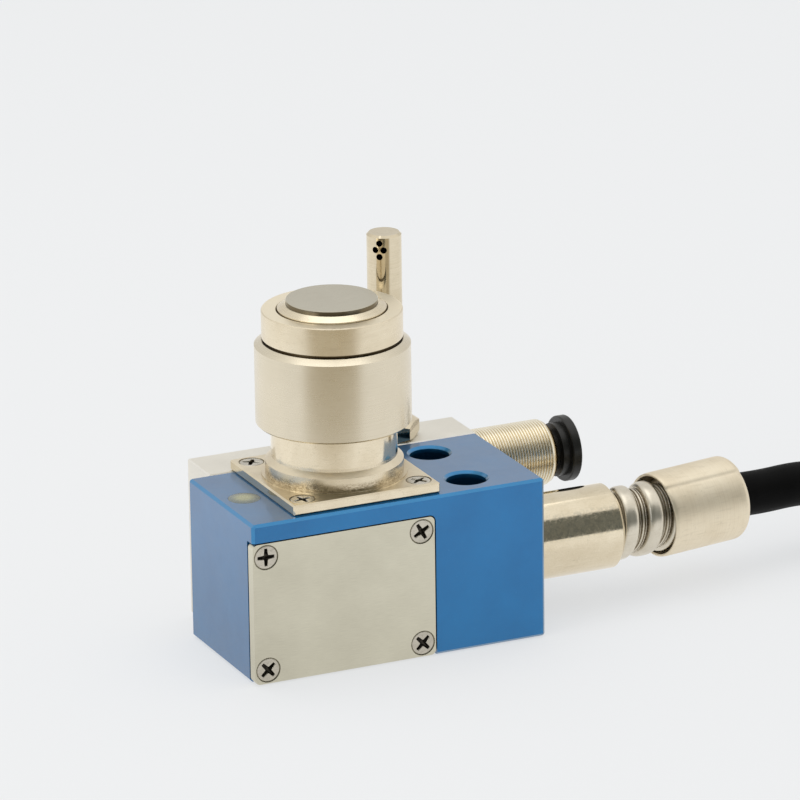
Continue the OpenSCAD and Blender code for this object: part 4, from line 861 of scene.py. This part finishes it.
px, py = net.split(Sock(net, net.node("ShaderNodeTexCoord").outputs["Object"]))[:2]
ahead = px * floor["front"][0] + py * floor["front"][1]
aside = px * -floor["front"][1] + py * floor["front"][0]
spread = net.math("ARCTAN2", net.math("ABSOLUTE", aside), ahead) * (180 / math.pi)
mask = net.remap(ahead, *floor["edgeFrom"], smooth=True)
mask = mask * net.remap(spread, *floor["edgeSpread"], smooth=True)
# Painted shadow: the floor is darker close round the setter, seen only in reflections
nearby = net.remap(net.reach(px, py), *floor["closeTo"], smooth=True)
shine = net.blend(mask, net.blend(nearby, rgb(*floor["close"]), rgb(*floor["open"])), rgb(*floor["edge"]))
# Painted light: a brighter patch to the left of the setter, seen only in reflections
leftGlow = net.remap(px, *floor["leftX"]) * net.remap(py, *floor["leftY"]) * floor["left"]
shine = net.vec("SCALE", shine, scale=1.0 + leftGlow)
rays = net.node("ShaderNodeLightPath")
glow = net.node("ShaderNodeEmission", {"Color": rgb(*pale)})
matt = net.node("ShaderNodeBsdfDiffuse", {"Color": rgb(*[floor["albedo"]] * 3)})
mirror = net.node("ShaderNodeEmission", {"Color": shine})


# Mix of two shaders by a factor
def mixShaders(factor, first, second):
    made = net.node("ShaderNodeMixShader", {0: factor})
    net.tree.links.new(first.outputs[0], made.inputs[1])
    net.tree.links.new(second.outputs[0], made.inputs[2])
    return made


seen = mixShaders(floor["shade"], glow, matt)
byGloss = mixShaders(Sock(net, rays.outputs["Is Glossy Ray"]), matt, mirror)
byCamera = mixShaders(Sock(net, rays.outputs["Is Camera Ray"]), byGloss, seen)
net.tree.links.new(byCamera.outputs[0], net.node("ShaderNodeOutputMaterial").inputs[0])
mesh.materials.append(floorMat)

# Soft studio surroundings: pale all round, with the dark room above the table's front edge
sky = dict(side=1.0, back=0.80, backFrom=(-0.2, -0.8), room=(0.17, 0.18, 0.17), roomLow=(0.05, 0.08),
           roomHigh=(0.84, 0.80), roomSide=(0.20, 0.26), tint=(1.0, 0.99, 0.97), strength=0.75)
world = bpy.data.worlds.new("studio")
bpy.context.scene.world = world
world.use_nodes = True
net = Net(world.node_tree)
way = Sock(net, net.node("ShaderNodeTexCoord").outputs["Generated"])
facing = net.vec("DOT_PRODUCT", way, (*floor["front"], 0.0))
wz = net.split(way)[2]
behind = net.remap(facing, *sky["backFrom"], sky["side"], sky["back"], smooth=True)
room = net.remap(wz, *sky["roomLow"], smooth=True) * net.remap(wz, *sky["roomHigh"], smooth=True)
room = room * net.remap(facing, *sky["roomSide"], smooth=True)
rays = net.node("ShaderNodeLightPath")
lit = net.blend(room, net.vec("MULTIPLY", net.join(behind, behind, behind), sky["tint"]), rgb(*sky["room"]))
even = rgb(*[v * sky["strength"] for v in sky["tint"]])
dim = net.blend(Sock(net, rays.outputs["Is Glossy Ray"]), even, lit)
colour = net.blend(Sock(net, rays.outputs["Is Camera Ray"]), dim, rgb(*pale))
background = net.node("ShaderNodeBackground", {"Color": colour, "Strength": 1.0})
net.tree.links.new(background.outputs[0], net.node("ShaderNodeOutputWorld").inputs[0])

# Softboxes, each with its place, the spot it looks at, its size and its power
lamps = dict(top_light=dict(place=(0.05, 0.15, 1.1), aim=(0.02, 0.0, 0.03), size=(0.9, 0.7), power=1.3),
             fill_light=dict(place=(0.05, 0.10, 1.15), aim=(0.02, 0.0, 0.03), size=(1.6, 1.3), power=4.6,
                             glossy=False),
             left_light=dict(place=(-1.0, -0.2, 0.55), aim=(0.0, 0.0, 0.03), size=(0.7, 0.7), power=2.6))


# A rectangular lamp at its place, turned so that it looks at its aim
def softbox(name, place, aim, size, power, glossy=True):
    data = bpy.data.lights.new(name, "AREA")
    data.shape = "RECTANGLE"
    data.size, data.size_y = size
    data.energy = power
    obj = bpy.data.objects.new(name, data)
    bpy.context.scene.collection.objects.link(obj)
    look = (Vector(aim) - Vector(place)).to_track_quat("-Z", "Y")
    obj.matrix_world = Matrix.Translation(place) @ look.to_matrix().to_4x4()
    obj.visible_glossy = glossy


for name, lamp in lamps.items():
    softbox(name, **lamp)

bpy.context.scene.view_settings.view_transform = "Standard"
print("stage made")
